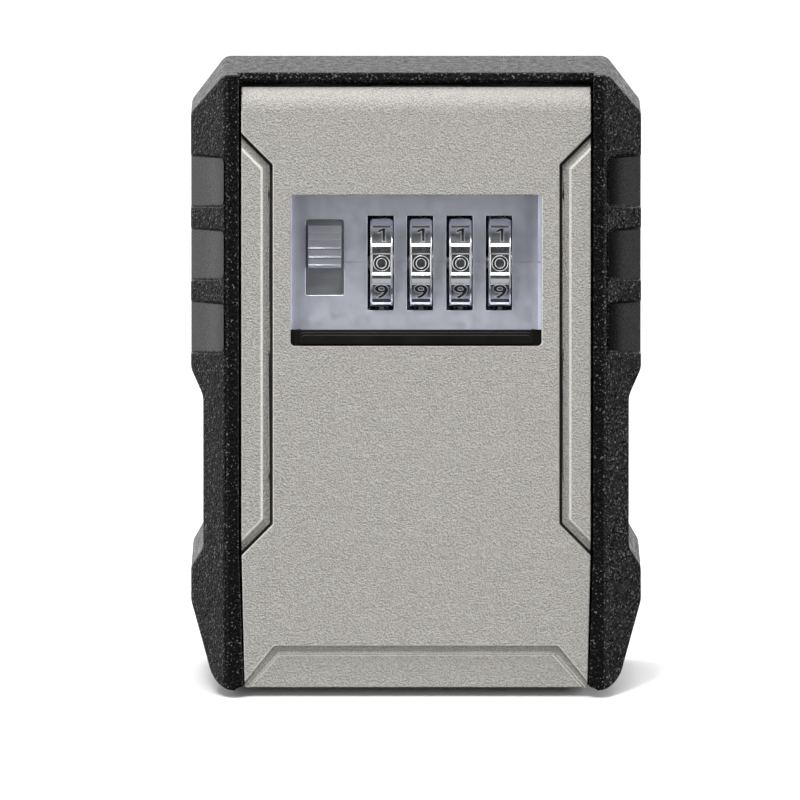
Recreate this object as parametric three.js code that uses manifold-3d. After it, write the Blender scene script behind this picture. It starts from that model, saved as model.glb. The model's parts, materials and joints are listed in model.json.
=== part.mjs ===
// Wall-mounted key lock box: a black case with a drop-down grey door, four code dials and an open button.
// Millimetres. X is right, Y runs towards the wall, Z is up. The origin is the middle of the wall face.
import * as THREE from 'three';
import { mergeVertices } from 'three/addons/utils/BufferGeometryUtils.js';
import Module from 'manifold-3d';

const wasm = await Module();
wasm.setup();

// Overall size, and the room left between pieces.
const HEIGHT = 120;
const DEPTH = 44;
const HALF_WIDTH = 44.45;
const GAP = 0.3;
const SLIP = 0.4;
const BASE_Z = -HEIGHT / 2;

// The door leans back from its foot. Everything on it is modelled in the leaning frame:
// local X is right, local Y is the depth behind the door's face, local Z runs up the face.
const LEAN = THREE.MathUtils.degToRad(8);
const RIM_PROUD = 0.4;
const front = new THREE.Group();
front.position.set(0, RIM_PROUD - DEPTH, BASE_Z);
front.rotation.x = -LEAN;
front.updateMatrix();

// Case.
const WALL = 2.4;
const LIP_THICK = 1.6;
const TOP_WALL = 2.6;
const LIP_FRONT_Y = -23.7;
const LIP_STEP_Y = -21;
const CAVITY_HALF = 38;
const OPENING_HALF = 34.9;
const RIM_HALF = 37.4;
const RIM_BACK = 3.2;
const FLANK_SLOPE = 0.705;
const PAD_SLOPE = 0.46;
const PAD_START_X = 37.9;
const PAD_HEIGHT = 9.7;
const PAD_PITCH = 14.4;
const LOWEST_PAD = 66.5;
const PAD_COUNT = 3;
const FLOOR_FRONT_Y = -33.6;
const PLATE_THICK = 1.8;
const BOSS_X = 34.4;
const BOSS_Z = 49.5;
const BOSS_RADIUS = 4.4;
const BOSS_FRONT_Y = -10;
const WALL_SLOT_X = 22;
const WALL_SLOT_HIGH = 46;
const WALL_SLOT_LOW = -36;
const HOOK_X = 11;
const HOOK_SCREW_Z = -1.5;

// Hinge pin, in the door's frame.
const PIN_Y = 3.6;
const PIN_Z = 3.4;
const PIN_RADIUS = 1.5;
const PIN_HALF = 37.1;

// Door cover.
const DOOR_HALF = 34.4;
const DOOR_FOOT = 0.3;
const DOOR_TOP = 118.8;
const DOOR_CURL = 4.8;
const DOOR_DEPTH = 7.6;
const SKIN = 1.6;
const FLANGE = 1.8;
const WINDOW_HALF = 24.7;
const WINDOW_LOW = 67.8;
const WINDOW_HIGH = 97.5;
const STRIP_X = 29;
const STRIP_LOW = 33;
const STRIP_HIGH = 103.2;
const GROOVE_WIDTH = 1.4;
const GROOVE_DEPTH = 0.8;
const FOOT_PANEL_TOP = 8.5;
const FOOT_PANEL_DEPTH = 0.9;
const BAR_DEPTH = 6.8;
const BAR_TOP = 6.6;
const RIB_X = 12;
const RIB_HALF = 0.7;
const RIB_HEIGHT = 2.4;
const RIB_TOP = 37.4;
const POST_RADIUS = 2.2;
const POST_X = 30.2;
const POST_LOW = 42;
const POST_MIDDLE = 66;
const POST_HIGH = 97.5;

// Shutter, and the plate that it slides on.
const SHUTTER_HALF = 25.8;
const SHUTTER_FRONT = 2;
const SHUTTER_BACK = 3.2;
const SHUTTER_FOOT = 40.5;
const SHUTTER_TOP = 71;
const SHUTTER_LIP_HALF = 23.2;
const PLATE_FRONT = 3.6;
const PLATE_BACK = 5.2;
const PLATE_HALF = 32.2;
const PLATE_LOW = 38;
const PLATE_HIGH = 110;
const RAIL_OUTER = 27.7;
const RAIL_FOOT = 38.6;
const RAIL_TOP = 99;
const GUIDE_LOW = 104;
const GUIDE_BACK = 13.6;

// Silver panel.
const PANEL_HALF = 25.7;
const PANEL_LOW = 66.5;
const PANEL_HIGH = 98.8;
const PANEL_DEPTH = 9.2;
const PANEL_BACK = 10;
const SCOOP_HALF = 24.9;
const FLANGE_HALF = 27.8;
const FLANGE_LOW = 64;
const FLANGE_HIGH = 101;

// Dials, all on one spindle.
const DIAL_X = [-6.8, 0.98, 8.76, 16.54];
const DIAL_Y = 13.9;
const DIAL_Z = 84;
const DIAL_RADIUS = 10.2;
const DIAL_HALF = 2.18;
const DIAL_SLOT_HALF = 2.45;
const DIGITS = 10;
const CAM_RADIUS = 3.5;
const CAM_THICK = 1.6;
const SPINDLE_RADIUS = 1.9;
const SPINDLE_RIGHT = 23.4;
const DIAL_BORE = 2.2;

// Open button and the latch that it carries.
const BUTTON_X = -18;
const BUTTON_HALF = 3.25;
const BUTTON_LOW = 83;
const BUTTON_HIGH = 91.5;
const BUTTON_FRONT = 6.6;
const LATCH_TRAVEL = 5;
const LATCH_FRONT = 11.2;
const LATCH_BACK = 12.4;
const ARM_BACK = 14.9;
const ARM_LOW = 99.6;
const ARM_HIGH = 102.6;
const BOLT_HALF = 9;
const BOLT_TOP = 115.2;

// Housing behind the panel, and its cover.
const HOUSING_HALF = 28;
const HOUSING_WALL = 1.4;
const HOUSING_FRONT = 7;
const HOUSING_BACK = 24.3;
const HOUSING_LOW = 60.5;
const HOUSING_HIGH = 98.5;
const FLOOR_TOP = 62;
const CHEEK_LEFT = -10.8;
const CHEEK_RIGHT = 20.8;
const CHEEK_FRONT = 10.8;
const CHEEK_TOP = 92;
const COVER_FRONT = 24.6;
const COVER_BACK = 25.8;
const COVER_SCREW_X = 24.4;
const COVER_SCREW_LOW = 64.5;
const COVER_SCREW_HIGH = 96;

// Code-change lever on the back of the door.
const LEVER_X = 6.4;
const LEVER_Z = 66;
const LEVER_TRAVEL = 3.6;

function paint(color, roughness, metalness) {
  return () => new THREE.MeshStandardMaterial({ color, roughness, metalness });
}

const BLACK_COAT = paint(0x232323, 0.8, 0);
const GREY_COAT = paint(0xaaa8a2, 0.6, 0);
const SATIN_CHROME = paint(0xb4b6c0, 0.3, 1);
const BRIGHT_CHROME = paint(0xe0e0e4, 0.12, 1);
const STEEL = paint(0x8f9296, 0.4, 1);
const DARK_ZINC = paint(0x4a4c50, 0.55, 1);
const BLACK_PLASTIC = paint(0x18181a, 0.5, 0);

// ---------- shapes ----------

const ARC_STEP = 0.3;

// Corners are [a, b] or [a, b, radius]. A corner with a radius becomes an arc.
function outline(corners) {
  const points = [];
  corners.forEach(([a, b, radius = 0], index) => {
    const corner = new THREE.Vector2(a, b);
    if (radius === 0) {
      points.push(corner);
      return;
    }
    const before = corners.at(index - 1);
    const after = corners[(index + 1) % corners.length];
    const back = new THREE.Vector2(before[0], before[1]).sub(corner).normalize();
    const ahead = new THREE.Vector2(after[0], after[1]).sub(corner).normalize();
    const half = Math.acos(back.dot(ahead)) / 2;
    const centre = back.clone().add(ahead).setLength(radius / Math.sin(half)).add(corner);
    const reach = radius / Math.tan(half);
    const start = back.multiplyScalar(reach).add(corner).sub(centre);
    const turn = Math.sign(start.clone().cross(ahead.multiplyScalar(reach).add(corner).sub(centre)));
    const sweep = turn * (Math.PI - 2 * half);
    const steps = Math.max(2, Math.ceil(Math.abs(sweep) / ARC_STEP));
    for (let step = 0; step <= steps; step += 1) {
      points.push(start.clone().rotateAround(new THREE.Vector2(), (sweep * step) / steps).add(centre));
    }
  });
  return points;
}

const mirrored = (corners) => corners.map(([a, ...rest]) => [-a, ...rest]).reverse();
const bothSides = (corners) => [...corners, ...mirrored(corners)];

function extrusion(points, depth) {
  return new THREE.ExtrudeGeometry(new THREE.Shape(points), { depth, bevelEnabled: false });
}

// A prism whose outline lies across the named axis.
const prismX = (corners, x0, x1) => extrusion(outline(corners), x1 - x0)
  .applyMatrix4(new THREE.Matrix4().set(0, 0, 1, x0, 1, 0, 0, 0, 0, 1, 0, 0, 0, 0, 0, 1));
const prismY = (corners, y0, y1) => extrusion(outline(corners), y1 - y0)
  .applyMatrix4(new THREE.Matrix4().set(1, 0, 0, 0, 0, 0, -1, y1, 0, 1, 0, 0, 0, 0, 0, 1));
const prismZ = (corners, z0, z1) => extrusion(outline(corners), z1 - z0).translate(0, 0, z0);

function rectangle(a0, a1, b0, b1, radius = 0) {
  return [[a0, b0, radius], [a1, b0, radius], [a1, b1, radius], [a0, b1, radius]];
}

function box(x0, x1, y0, y1, z0, z1) {
  const block = new THREE.BoxGeometry(x1 - x0, y1 - y0, z1 - z0);
  return block.translate((x0 + x1) / 2, (y0 + y1) / 2, (z0 + z1) / 2);
}

const boxesBothSides = (x0, x1, ...rest) => [box(x0, x1, ...rest), box(-x1, -x0, ...rest)];

// Round bars along each axis.
const rod = (radius, length, sides = 20) => new THREE.CylinderGeometry(radius, radius, length, sides);
const rodX = (radius, x0, x1, y, z, sides) => rod(radius, x1 - x0, sides).rotateZ(Math.PI / 2)
  .translate((x0 + x1) / 2, y, z);
const rodY = (radius, y0, y1, x, z, sides) => rod(radius, y1 - y0, sides).translate(x, (y0 + y1) / 2, z);
const rodZ = (radius, z0, z1, x, y, sides) => rod(radius, z1 - z0, sides).rotateX(Math.PI / 2)
  .translate(x, y, (z0 + z1) / 2);

const leaning = (geometry) => geometry.applyMatrix4(front.matrix);

// ---------- joining and cutting ----------

function solidOf(shape) {
  if (!shape.isBufferGeometry) {
    return shape;
  }
  const bare = shape.clone();
  bare.deleteAttribute('normal');
  bare.deleteAttribute('uv');
  const merged = mergeVertices(bare);
  const vertProperties = new Float32Array(merged.attributes.position.array);
  const triVerts = new Uint32Array(merged.index.array);
  return new wasm.Manifold(new wasm.Mesh({ numProp: 3, vertProperties, triVerts }));
}

function join(...shapes) {
  return shapes.map(solidOf).reduce((whole, shape) => whole.add(shape));
}

function cut(base, ...tools) {
  return tools.map(solidOf).reduce((whole, tool) => whole.subtract(tool), solidOf(base));
}

function geometryOf(shape) {
  if (shape.isBufferGeometry) {
    return shape;
  }
  const { vertProperties, triVerts } = shape.getMesh();
  const geometry = new THREE.BufferGeometry();
  geometry.setAttribute('position', new THREE.BufferAttribute(new Float32Array(vertProperties), 3));
  geometry.setIndex(new THREE.BufferAttribute(new Uint32Array(triVerts), 1));
  geometry.computeVertexNormals();
  return geometry;
}

function piece(name, shape, material) {
  const mesh = new THREE.Mesh(geometryOf(shape), material());
  mesh.name = name;
  return mesh;
}

// ---------- screws ----------

const SCREW_SHANK = 0.95;
const SCREW_HOLE = SCREW_SHANK + GAP;
const SCREW_HEAD = 2;
const HEAD_HEIGHT = 1.2;
const DRIVE_HALF = 0.35;
const DRIVE_REACH = 1.2;
const DRIVE_DEPTH = 0.6;

// The head's underside is at the local origin, the head points along +Z and the shank along -Z.
function panScrew(name, length) {
  const profile = [[0, -length], [SCREW_SHANK, -length], [SCREW_SHANK, 0], [SCREW_HEAD, 0],
    [SCREW_HEAD, HEAD_HEIGHT * 0.6], [SCREW_HEAD * 0.7, HEAD_HEIGHT], [0, HEAD_HEIGHT]];
  return crossScrew(name, profile, HEAD_HEIGHT);
}

function flatScrew(name, length) {
  const profile = [[0, -length], [SCREW_SHANK, -length], [SCREW_SHANK, -HEAD_HEIGHT],
    [SCREW_HEAD, 0], [0, 0]];
  return crossScrew(name, profile, 0);
}

function crossScrew(name, profile, top) {
  const points = profile.map(([radius, z]) => new THREE.Vector2(radius, z));
  const body = new THREE.LatheGeometry(points, 16).rotateX(Math.PI / 2);
  const low = top - DRIVE_DEPTH;
  const along = box(-DRIVE_REACH, DRIVE_REACH, -DRIVE_HALF, DRIVE_HALF, low, top + 1);
  const across = box(-DRIVE_HALF, DRIVE_HALF, -DRIVE_REACH, DRIVE_REACH, low, top + 1);
  return piece(name, cut(body, along, across), STEEL);
}

// Turns a screw so that its head points along the given direction.
function place(mesh, x, y, z, direction) {
  mesh.position.set(x, y, z);
  mesh.quaternion.setFromUnitVectors(new THREE.Vector3(0, 0, 1), direction);
  return mesh;
}

const TO_WALL = new THREE.Vector3(0, 1, 0);
const TO_FRONT = new THREE.Vector3(0, -1, 0);
const UP = new THREE.Vector3(0, 0, 1);
const DOWN = new THREE.Vector3(0, 0, -1);

// Cutting tools run this far past the object.
const FAR = 20;
const WIDE = 60;

// ---------- case ----------

const caseOutline = bothSides([[39.6, 0, 4.75], [HALF_WIDTH, 15.8, 3], [HALF_WIDTH, 22.4, 3], [42, 26.8, 3],
  [42, 56.4, 4], [HALF_WIDTH, 61.2, 3], [HALF_WIDTH, 111.2, 2], [37.8, HEIGHT, 1.5]]);

const cavityOutline = (inset) => bothSides([[35.4 - inset, WALL + inset, 2], [CAVITY_HALF - inset, 10, 2],
  [CAVITY_HALF - inset, 110.4, 2], [35.4 - inset, HEIGHT - TOP_WALL - inset, 1.5]]);

const aboveBase = (geometry) => geometry.translate(0, 0, BASE_Z);

// The two flanks slope back from the rims.
function flankCuts() {
  const corners = [[RIM_HALF, -FAR], [RIM_HALF, -RIM_PROUD], [RIM_HALF + FAR * FLANK_SLOPE, FAR - RIM_PROUD],
    [RIM_HALF + FAR, FAR], [RIM_HALF + FAR, -FAR]];
  return [corners, mirrored(corners)].map((side) => leaning(prismZ(side, -FAR, HEIGHT + FAR)));
}

// Three grip pads are sunk into each flank.
function padCuts() {
  const start = (PAD_START_X - RIM_HALF) / FLANK_SLOPE - RIM_PROUD;
  const corners = [[PAD_START_X, -FAR], [PAD_START_X, start], [PAD_START_X + FAR * PAD_SLOPE, start + FAR],
    [PAD_START_X + FAR, start + FAR], [PAD_START_X + FAR, -FAR]];
  const cuts = [];
  for (let index = 0; index < PAD_COUNT; index += 1) {
    const low = LOWEST_PAD + index * PAD_PITCH;
    cuts.push(leaning(prismZ(corners, low, low + PAD_HEIGHT)));
    cuts.push(leaning(prismZ(mirrored(corners), low, low + PAD_HEIGHT)));
  }
  return cuts;
}

const bossPlaces = [[-BOSS_X, -BOSS_Z], [BOSS_X, -BOSS_Z], [-BOSS_X, BOSS_Z], [BOSS_X, BOSS_Z]];
const LUG_TOP = 8.4;
const STRIKE_SCREW_X = 5;
const STRIKE_SCREW_Y = -11;

function caseShell() {
  const outer = aboveBase(prismY(caseOutline, -DEPTH - FAR, 0));
  const inFront = leaning(box(-WIDE, WIDE, -2 * FAR, -RIM_PROUD, -FAR, HEIGHT + FAR));
  const lugs = boxesBothSides(OPENING_HALF, CAVITY_HALF + 2, RIM_BACK - 1, DOOR_DEPTH, -1, LUG_TOP)
    .map(leaning);
  const bosses = bossPlaces.map(([x, z]) => rodY(BOSS_RADIUS, BOSS_FRONT_Y, -PLATE_THICK - GAP, x, z, 24));
  const flange = leaning(box(-WIDE, WIDE, -2 * FAR, RIM_BACK, -FAR, HEIGHT + FAR));
  const cavity = cut(aboveBase(prismY(cavityOutline(0), -DEPTH - FAR, 1)), flange, ...lugs, ...bosses);
  const lipUnderside = -BASE_Z - LIP_THICK;
  const opening = cut(
    leaning(box(-OPENING_HALF, OPENING_HALF, -5, RIM_BACK + 1, -10, HEIGHT + FAR)),
    box(-WIDE, WIDE, -WIDE, FAR, lipUnderside, lipUnderside + WIDE),
  );
  const overLip = box(-OPENING_HALF, OPENING_HALF, -WIDE, LIP_FRONT_Y, lipUnderside - 1, -BASE_Z + 10);
  const lipStep = box(-OPENING_HALF, OPENING_HALF, LIP_FRONT_Y - 3, LIP_STEP_Y,
    lipUnderside - 8, lipUnderside);
  const floorFront = box(-OPENING_HALF, OPENING_HALF, -WIDE, FLOOR_FRONT_Y, BASE_Z - 1, BASE_Z + WALL + 1);
  const pinHoles = [[-PIN_HALF - GAP, -30], [30, PIN_HALF + GAP]]
    .map(([x0, x1]) => leaning(rodX(PIN_RADIUS + GAP, x0, x1, PIN_Y, PIN_Z, 24)));
  const bossHoles = bossPlaces.map(([x, z]) => rodY(SCREW_HOLE, BOSS_FRONT_Y + 1, 0, x, z, 16));
  const strikeHoles = [-STRIKE_SCREW_X, STRIKE_SCREW_X]
    .map((x) => rodZ(SCREW_HOLE, 50, -BASE_Z - 0.8, x, STRIKE_SCREW_Y, 16));
  const shape = cut(outer, inFront, ...flankCuts(), ...padCuts(), cavity, opening, overLip, lipStep,
    floorFront, ...pinHoles, ...bossHoles, ...strikeHoles);
  return piece('case_shell', shape, BLACK_COAT);
}

const wallSlotPlaces = [[-WALL_SLOT_X, WALL_SLOT_LOW], [WALL_SLOT_X, WALL_SLOT_LOW],
  [-WALL_SLOT_X, WALL_SLOT_HIGH], [WALL_SLOT_X, WALL_SLOT_HIGH]];
const WALL_SLOT_WIDTH = 5.4;
const WALL_SLOT_LENGTH = 9;

// The steel back plate closes the case and takes the wall screws.
function backPlate() {
  const blank = aboveBase(prismY(cavityOutline(GAP), -PLATE_THICK, 0));
  const halfWidth = WALL_SLOT_WIDTH / 2;
  const halfLength = WALL_SLOT_LENGTH / 2;
  const slots = wallSlotPlaces.map(([x, z]) => prismY(
    rectangle(x - halfWidth, x + halfWidth, z - halfLength, z + halfLength, halfWidth - 0.01),
    -PLATE_THICK - 1, 1));
  const sinkDepth = HEAD_HEIGHT + GAP;
  const sinks = bossPlaces.map(([x, z]) => new THREE
    .CylinderGeometry(SCREW_HEAD + GAP, SCREW_HOLE, sinkDepth, 16)
    .translate(x, -sinkDepth / 2, z));
  const bossHoles = bossPlaces.map(([x, z]) => rodY(SCREW_HOLE, -PLATE_THICK - 1, 0, x, z, 16));
  const hookHoles = [-HOOK_X, HOOK_X].map((x) => rodY(SCREW_HOLE, -PLATE_THICK - 1, 1, x, HOOK_SCREW_Z, 16));
  return piece('back_plate', cut(blank, ...slots, ...sinks, ...bossHoles, ...hookHoles), STEEL);
}

const plateScrews = () => bossPlaces.map(([x, z], index) => place(
  flatScrew(`plate_screw_${index + 1}`, 7), x, 0, z, TO_WALL));

const HOOK_THICK = 1.2;
const HOOK_HALF = 2.5;
const HOOK_REACH = 8.4;
const HOOK_TOP = 2;
const HOOK_FOOT = -13.2;
const HOOK_TIP = -8.2;

// A bent strip on the back plate, open at the top, holds the keys.
function keyHook(name, x) {
  const back = -PLATE_THICK - GAP;
  const tip = back - HOOK_REACH;
  const floor = HOOK_FOOT + HOOK_THICK;
  const corners = [[back, HOOK_TOP], [back - HOOK_THICK, HOOK_TOP], [back - HOOK_THICK, floor, 0.8],
    [tip + HOOK_THICK, floor, 0.8], [tip + HOOK_THICK, HOOK_TIP], [tip, HOOK_TIP],
    [tip, HOOK_FOOT, 2], [back, HOOK_FOOT, 2]];
  const hole = rodY(SCREW_HOLE, -FAR, 0, x, HOOK_SCREW_Z, 16);
  return piece(name, cut(prismX(corners, x - HOOK_HALF, x + HOOK_HALF), hole), STEEL);
}

function keyHooks() {
  const under = -PLATE_THICK - GAP - HOOK_THICK - GAP;
  return [['left', -HOOK_X], ['right', HOOK_X]].flatMap(([side, x]) => [
    keyHook(`key_hook_${side}`, x),
    place(panScrew(`hook_screw_${side}`, 3), x, under, HOOK_SCREW_Z, TO_FRONT),
  ]);
}

// The strike hangs under the top wall, in front of the bolt.
const STRIKE_TOP = -BASE_Z - TOP_WALL - GAP;
const STRIKE_THICK = 1.2;
const STRIKE_FRONT_Y = -18.6;
const STRIKE_BACK_Y = -6;
const STRIKE_FOOT = 53.6;

function strikePlate() {
  const inner = STRIKE_FRONT_Y + STRIKE_THICK;
  const under = STRIKE_TOP - STRIKE_THICK;
  const corners = [[STRIKE_BACK_Y, STRIKE_TOP], [STRIKE_FRONT_Y, STRIKE_TOP, 1],
    [STRIKE_FRONT_Y, STRIKE_FOOT], [inner, STRIKE_FOOT], [inner, under, 0.5], [STRIKE_BACK_Y, under]];
  const holes = [-STRIKE_SCREW_X, STRIKE_SCREW_X]
    .map((x) => rodZ(SCREW_HOLE, under - 1, STRIKE_TOP + 1, x, STRIKE_SCREW_Y, 16));
  return piece('strike_plate', cut(prismX(corners, -BOLT_HALF, BOLT_HALF), ...holes), STEEL);
}

const strikeScrews = () => [['left', -STRIKE_SCREW_X], ['right', STRIKE_SCREW_X]].map(([side, x]) => place(
  panScrew(`strike_screw_${side}`, 3.2), x, STRIKE_SCREW_Y, STRIKE_TOP - STRIKE_THICK - GAP, DOWN));

function hingePin() {
  return piece('hinge_pin', rodX(PIN_RADIUS, -PIN_HALF, PIN_HALF, PIN_Y, PIN_Z, 24), STEEL);
}

// ---------- door ----------

const postPlaces = [POST_LOW, POST_MIDDLE, POST_HIGH].flatMap((z) => [[-POST_X, z], [POST_X, z]]);
const POST_END = PLATE_FRONT - GAP;

// A straight groove in the door's face, between two points of that face.
function grooveCut([x0, z0], [x1, z1]) {
  const length = Math.hypot(x1 - x0, z1 - z0) + GROOVE_WIDTH;
  const groove = new THREE.BoxGeometry(length, 2 * GROOVE_DEPTH, GROOVE_WIDTH);
  return groove.rotateY(-Math.atan2(z1 - z0, x1 - x0)).translate((x0 + x1) / 2, 0, (z0 + z1) / 2);
}

// Each side strip is bounded by a vertical groove with a diagonal at each end.
function stripGrooves(side) {
  const edge = side * (DOOR_HALF + 2);
  const inner = side * STRIP_X;
  const rise = Math.abs(edge - inner);
  return [
    grooveCut([edge, STRIP_LOW - rise], [inner, STRIP_LOW]),
    grooveCut([inner, STRIP_LOW], [inner, STRIP_HIGH]),
    grooveCut([inner, STRIP_HIGH], [edge, STRIP_HIGH + rise]),
  ];
}

// The cover is a hollow shell on a solid hinge bar, with six screw posts and two stiffening ribs.
function doorShell() {
  const blank = prismX([[0, DOOR_FOOT, 0.6], [BAR_DEPTH, DOOR_FOOT + BAR_DEPTH * Math.tan(LEAN), 1],
    [BAR_DEPTH, BAR_TOP], [DOOR_DEPTH, BAR_TOP], [DOOR_DEPTH, DOOR_TOP, 0.5], [0, DOOR_TOP, DOOR_CURL]],
  -DOOR_HALF, DOOR_HALF);
  const hollowHalf = DOOR_HALF - FLANGE;
  const hollowBack = DOOR_DEPTH + 4;
  const hollow = prismX([[SKIN, BAR_TOP + 0.8, 1], [hollowBack, BAR_TOP + 0.8],
    [hollowBack, DOOR_TOP - SKIN], [SKIN, DOOR_TOP - SKIN, DOOR_CURL - SKIN]], -hollowHalf, hollowHalf);
  const posts = postPlaces.map(([x, z]) => rodY(POST_RADIUS, SKIN - 0.3, POST_END, x, z));
  const ribs = [-RIB_X, RIB_X]
    .map((x) => box(x - RIB_HALF, x + RIB_HALF, SKIN - 0.3, SKIN + RIB_HEIGHT, BAR_TOP, RIB_TOP));
  return join(cut(blank, hollow), ...posts, ...ribs);
}

function doorCover() {
  const window = prismY(rectangle(-WINDOW_HALF, WINDOW_HALF, WINDOW_LOW, WINDOW_HIGH, 1), -2, SKIN + 0.2);
  const footPanel = prismY([[-33.8, -1], [33.8, -1], [33.2, DOOR_FOOT], [27.8, FOOT_PANEL_TOP],
    [-27.8, FOOT_PANEL_TOP], [-33.2, DOOR_FOOT]], -2, FOOT_PANEL_DEPTH);
  const bore = rodX(PIN_RADIUS + GAP, -PIN_HALF, PIN_HALF, PIN_Y, PIN_Z, 24);
  const pilots = postPlaces.map(([x, z]) => rodY(SCREW_HOLE, SKIN - 0.2, POST_END + 1, x, z, 16));
  const shape = cut(doorShell(), window, footPanel, bore, ...pilots, ...stripGrooves(-1), ...stripGrooves(1));
  return piece('door_cover', shape, GREY_COAT);
}

// The shutter is a flat blade with a stepped finger lip at its top.
function shutter() {
  const blade = box(-SHUTTER_HALF, SHUTTER_HALF, SHUTTER_FRONT, SHUTTER_BACK, SHUTTER_FOOT, SHUTTER_TOP);
  const lipBack = SHUTTER_FRONT + 0.2;
  const lipLow = WINDOW_LOW + SLIP;
  const lip = prismX([[0.4, lipLow], [lipBack, lipLow], [lipBack, SHUTTER_TOP], [1.6, SHUTTER_TOP],
    [1.6, SHUTTER_TOP - 0.5], [1, SHUTTER_TOP - 0.5], [1, SHUTTER_TOP - 1], [0.4, SHUTTER_TOP - 1]],
  -SHUTTER_LIP_HALF, SHUTTER_LIP_HALF);
  return piece('shutter', join(blade, lip), BLACK_PLASTIC);
}

// The plate holds the panel and guides the shutter and the bolt.
function lockPlate() {
  const plate = box(-PLATE_HALF, PLATE_HALF, PLATE_FRONT, PLATE_BACK, PLATE_LOW, PLATE_HIGH);
  const railBack = PLATE_FRONT + 0.5;
  const rails = boxesBothSides(SHUTTER_HALF + SLIP, RAIL_OUTER, SHUTTER_FRONT, railBack, RAIL_FOOT, RAIL_TOP);
  const stop = box(-RAIL_OUTER, RAIL_OUTER, SHUTTER_FRONT, railBack, RAIL_FOOT, SHUTTER_FOOT - SLIP);
  const guideIn = BOLT_HALF + SLIP;
  const guides = boxesBothSides(guideIn, guideIn + 2, PLATE_BACK - 0.5, GUIDE_BACK, GUIDE_LOW, PLATE_HIGH);
  const openingHalf = PANEL_HALF + GAP;
  const opening = box(-openingHalf, openingHalf, 0, PANEL_BACK, PANEL_LOW - GAP, PANEL_HIGH + GAP);
  const holes = postPlaces.map(([x, z]) => rodY(SCREW_HOLE, 0, PANEL_BACK, x, z, 16));
  return piece('lock_plate', cut(join(plate, ...rails, stop, ...guides), opening, ...holes), DARK_ZINC);
}

// The silver panel is a scooped tray with a slot for each dial and one for the button.
function bezelPanel() {
  const tray = box(-PANEL_HALF, PANEL_HALF, PLATE_FRONT + 0.1, PANEL_BACK, PANEL_LOW, PANEL_HIGH);
  const flangeFront = PLATE_BACK + SLIP;
  const flange = box(-FLANGE_HALF, FLANGE_HALF, flangeFront, flangeFront + 1, FLANGE_LOW, FLANGE_HIGH);
  const shoulder = PANEL_DEPTH - 2.2;
  const scoop = prismX([[0, 67.3], [shoulder, 67.9, 3], [PANEL_DEPTH, 71.5, 3], [PANEL_DEPTH, 95, 3],
    [shoulder, 97.7, 2], [0, 98]], -SCOOP_HALF, SCOOP_HALF);
  const dialSlots = DIAL_X.map((x) => rodX(
    DIAL_RADIUS + GAP, x - DIAL_SLOT_HALF, x + DIAL_SLOT_HALF, DIAL_Y, DIAL_Z, 48));
  const slotHalf = BUTTON_HALF + 0.5;
  const buttonSlot = box(BUTTON_X - slotHalf, BUTTON_X + slotHalf, 0, FAR,
    BUTTON_LOW - LATCH_TRAVEL - GAP, BUTTON_HIGH + 1);
  return piece('bezel_panel', cut(join(tray, flange), scoop, ...dialSlots, buttonSlot), SATIN_CHROME);
}

const combScrewX = [(DIAL_X[0] + DIAL_X[1]) / 2, (DIAL_X[2] + DIAL_X[3]) / 2];
const COMB_LOW = 65.6;
const COMB_THICK = 1.2;
const COMB_FRONT = 12.8;
const COMB_BACK = 19.8;
const COMB_SCREW_Y = 17.6;
const earPlaces = [POST_MIDDLE, POST_HIGH];
const EAR_HALF = 3;
const EAR_OUTER = 32;
const EAR_INNER = 28.1;
const EAR_BACK = 8;
const coverScrewPlaces = [COVER_SCREW_LOW, COVER_SCREW_HIGH]
  .flatMap((z) => [[-COVER_SCREW_X, z], [COVER_SCREW_X, z]]);

// The housing carries the spindle and closes the sides and the foot of the lockwork.
function lockHousing() {
  const inner = HOUSING_HALF - HOUSING_WALL;
  const walls = boxesBothSides(inner, HOUSING_HALF, HOUSING_FRONT, HOUSING_BACK, HOUSING_LOW, HOUSING_HIGH);
  const floor = box(-HOUSING_HALF, HOUSING_HALF, HOUSING_FRONT, HOUSING_BACK, HOUSING_LOW, FLOOR_TOP);
  const cheeks = [[CHEEK_LEFT - HOUSING_WALL, CHEEK_LEFT], [CHEEK_RIGHT, CHEEK_RIGHT + HOUSING_WALL]]
    .map(([x0, x1]) => box(x0, x1, CHEEK_FRONT, HOUSING_BACK, HOUSING_LOW, CHEEK_TOP));
  const rail = box(CHEEK_LEFT - 0.5, CHEEK_RIGHT + 0.5, 15.5, COMB_BACK, HOUSING_LOW, COMB_LOW - GAP);
  const corners = [[FLOOR_TOP - 0.5, FLOOR_TOP + 5], [HOUSING_HIGH - 5, HOUSING_HIGH]]
    .flatMap(([z0, z1]) => boxesBothSides(22, inner + 0.5, 15.4, HOUSING_BACK, z0, z1));
  const ears = earPlaces.flatMap((z) => [
    ...boxesBothSides(EAR_INNER, EAR_OUTER, PLATE_BACK + SLIP, EAR_BACK, z - EAR_HALF, z + EAR_HALF),
    ...boxesBothSides(inner, EAR_INNER + 1, HOUSING_FRONT, EAR_BACK, z - EAR_HALF, z + EAR_HALF),
  ]);
  const bores = [
    rodX(DIAL_BORE, CHEEK_LEFT - 1.1, CHEEK_RIGHT + FAR, DIAL_Y, DIAL_Z),
    ...coverScrewPlaces.map(([x, z]) => rodY(SCREW_HOLE, 17, COVER_BACK, x, z, 16)),
    ...earPlaces.flatMap((z) => [-POST_X, POST_X].map((x) => rodY(SCREW_HOLE, 0, EAR_BACK + 1, x, z, 16))),
    ...combScrewX.map((x) => rodZ(SCREW_HOLE, FLOOR_TOP, COMB_LOW, x, COMB_SCREW_Y, 16)),
  ];
  return piece('lock_housing', cut(join(...walls, floor, ...cheeks, rail, ...corners, ...ears), ...bores),
    DARK_ZINC);
}

// ---------- dials ----------

const BAR_ANGLE = 0.16;
const FACET_RADIUS = DIAL_RADIUS - 0.7;

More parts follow.
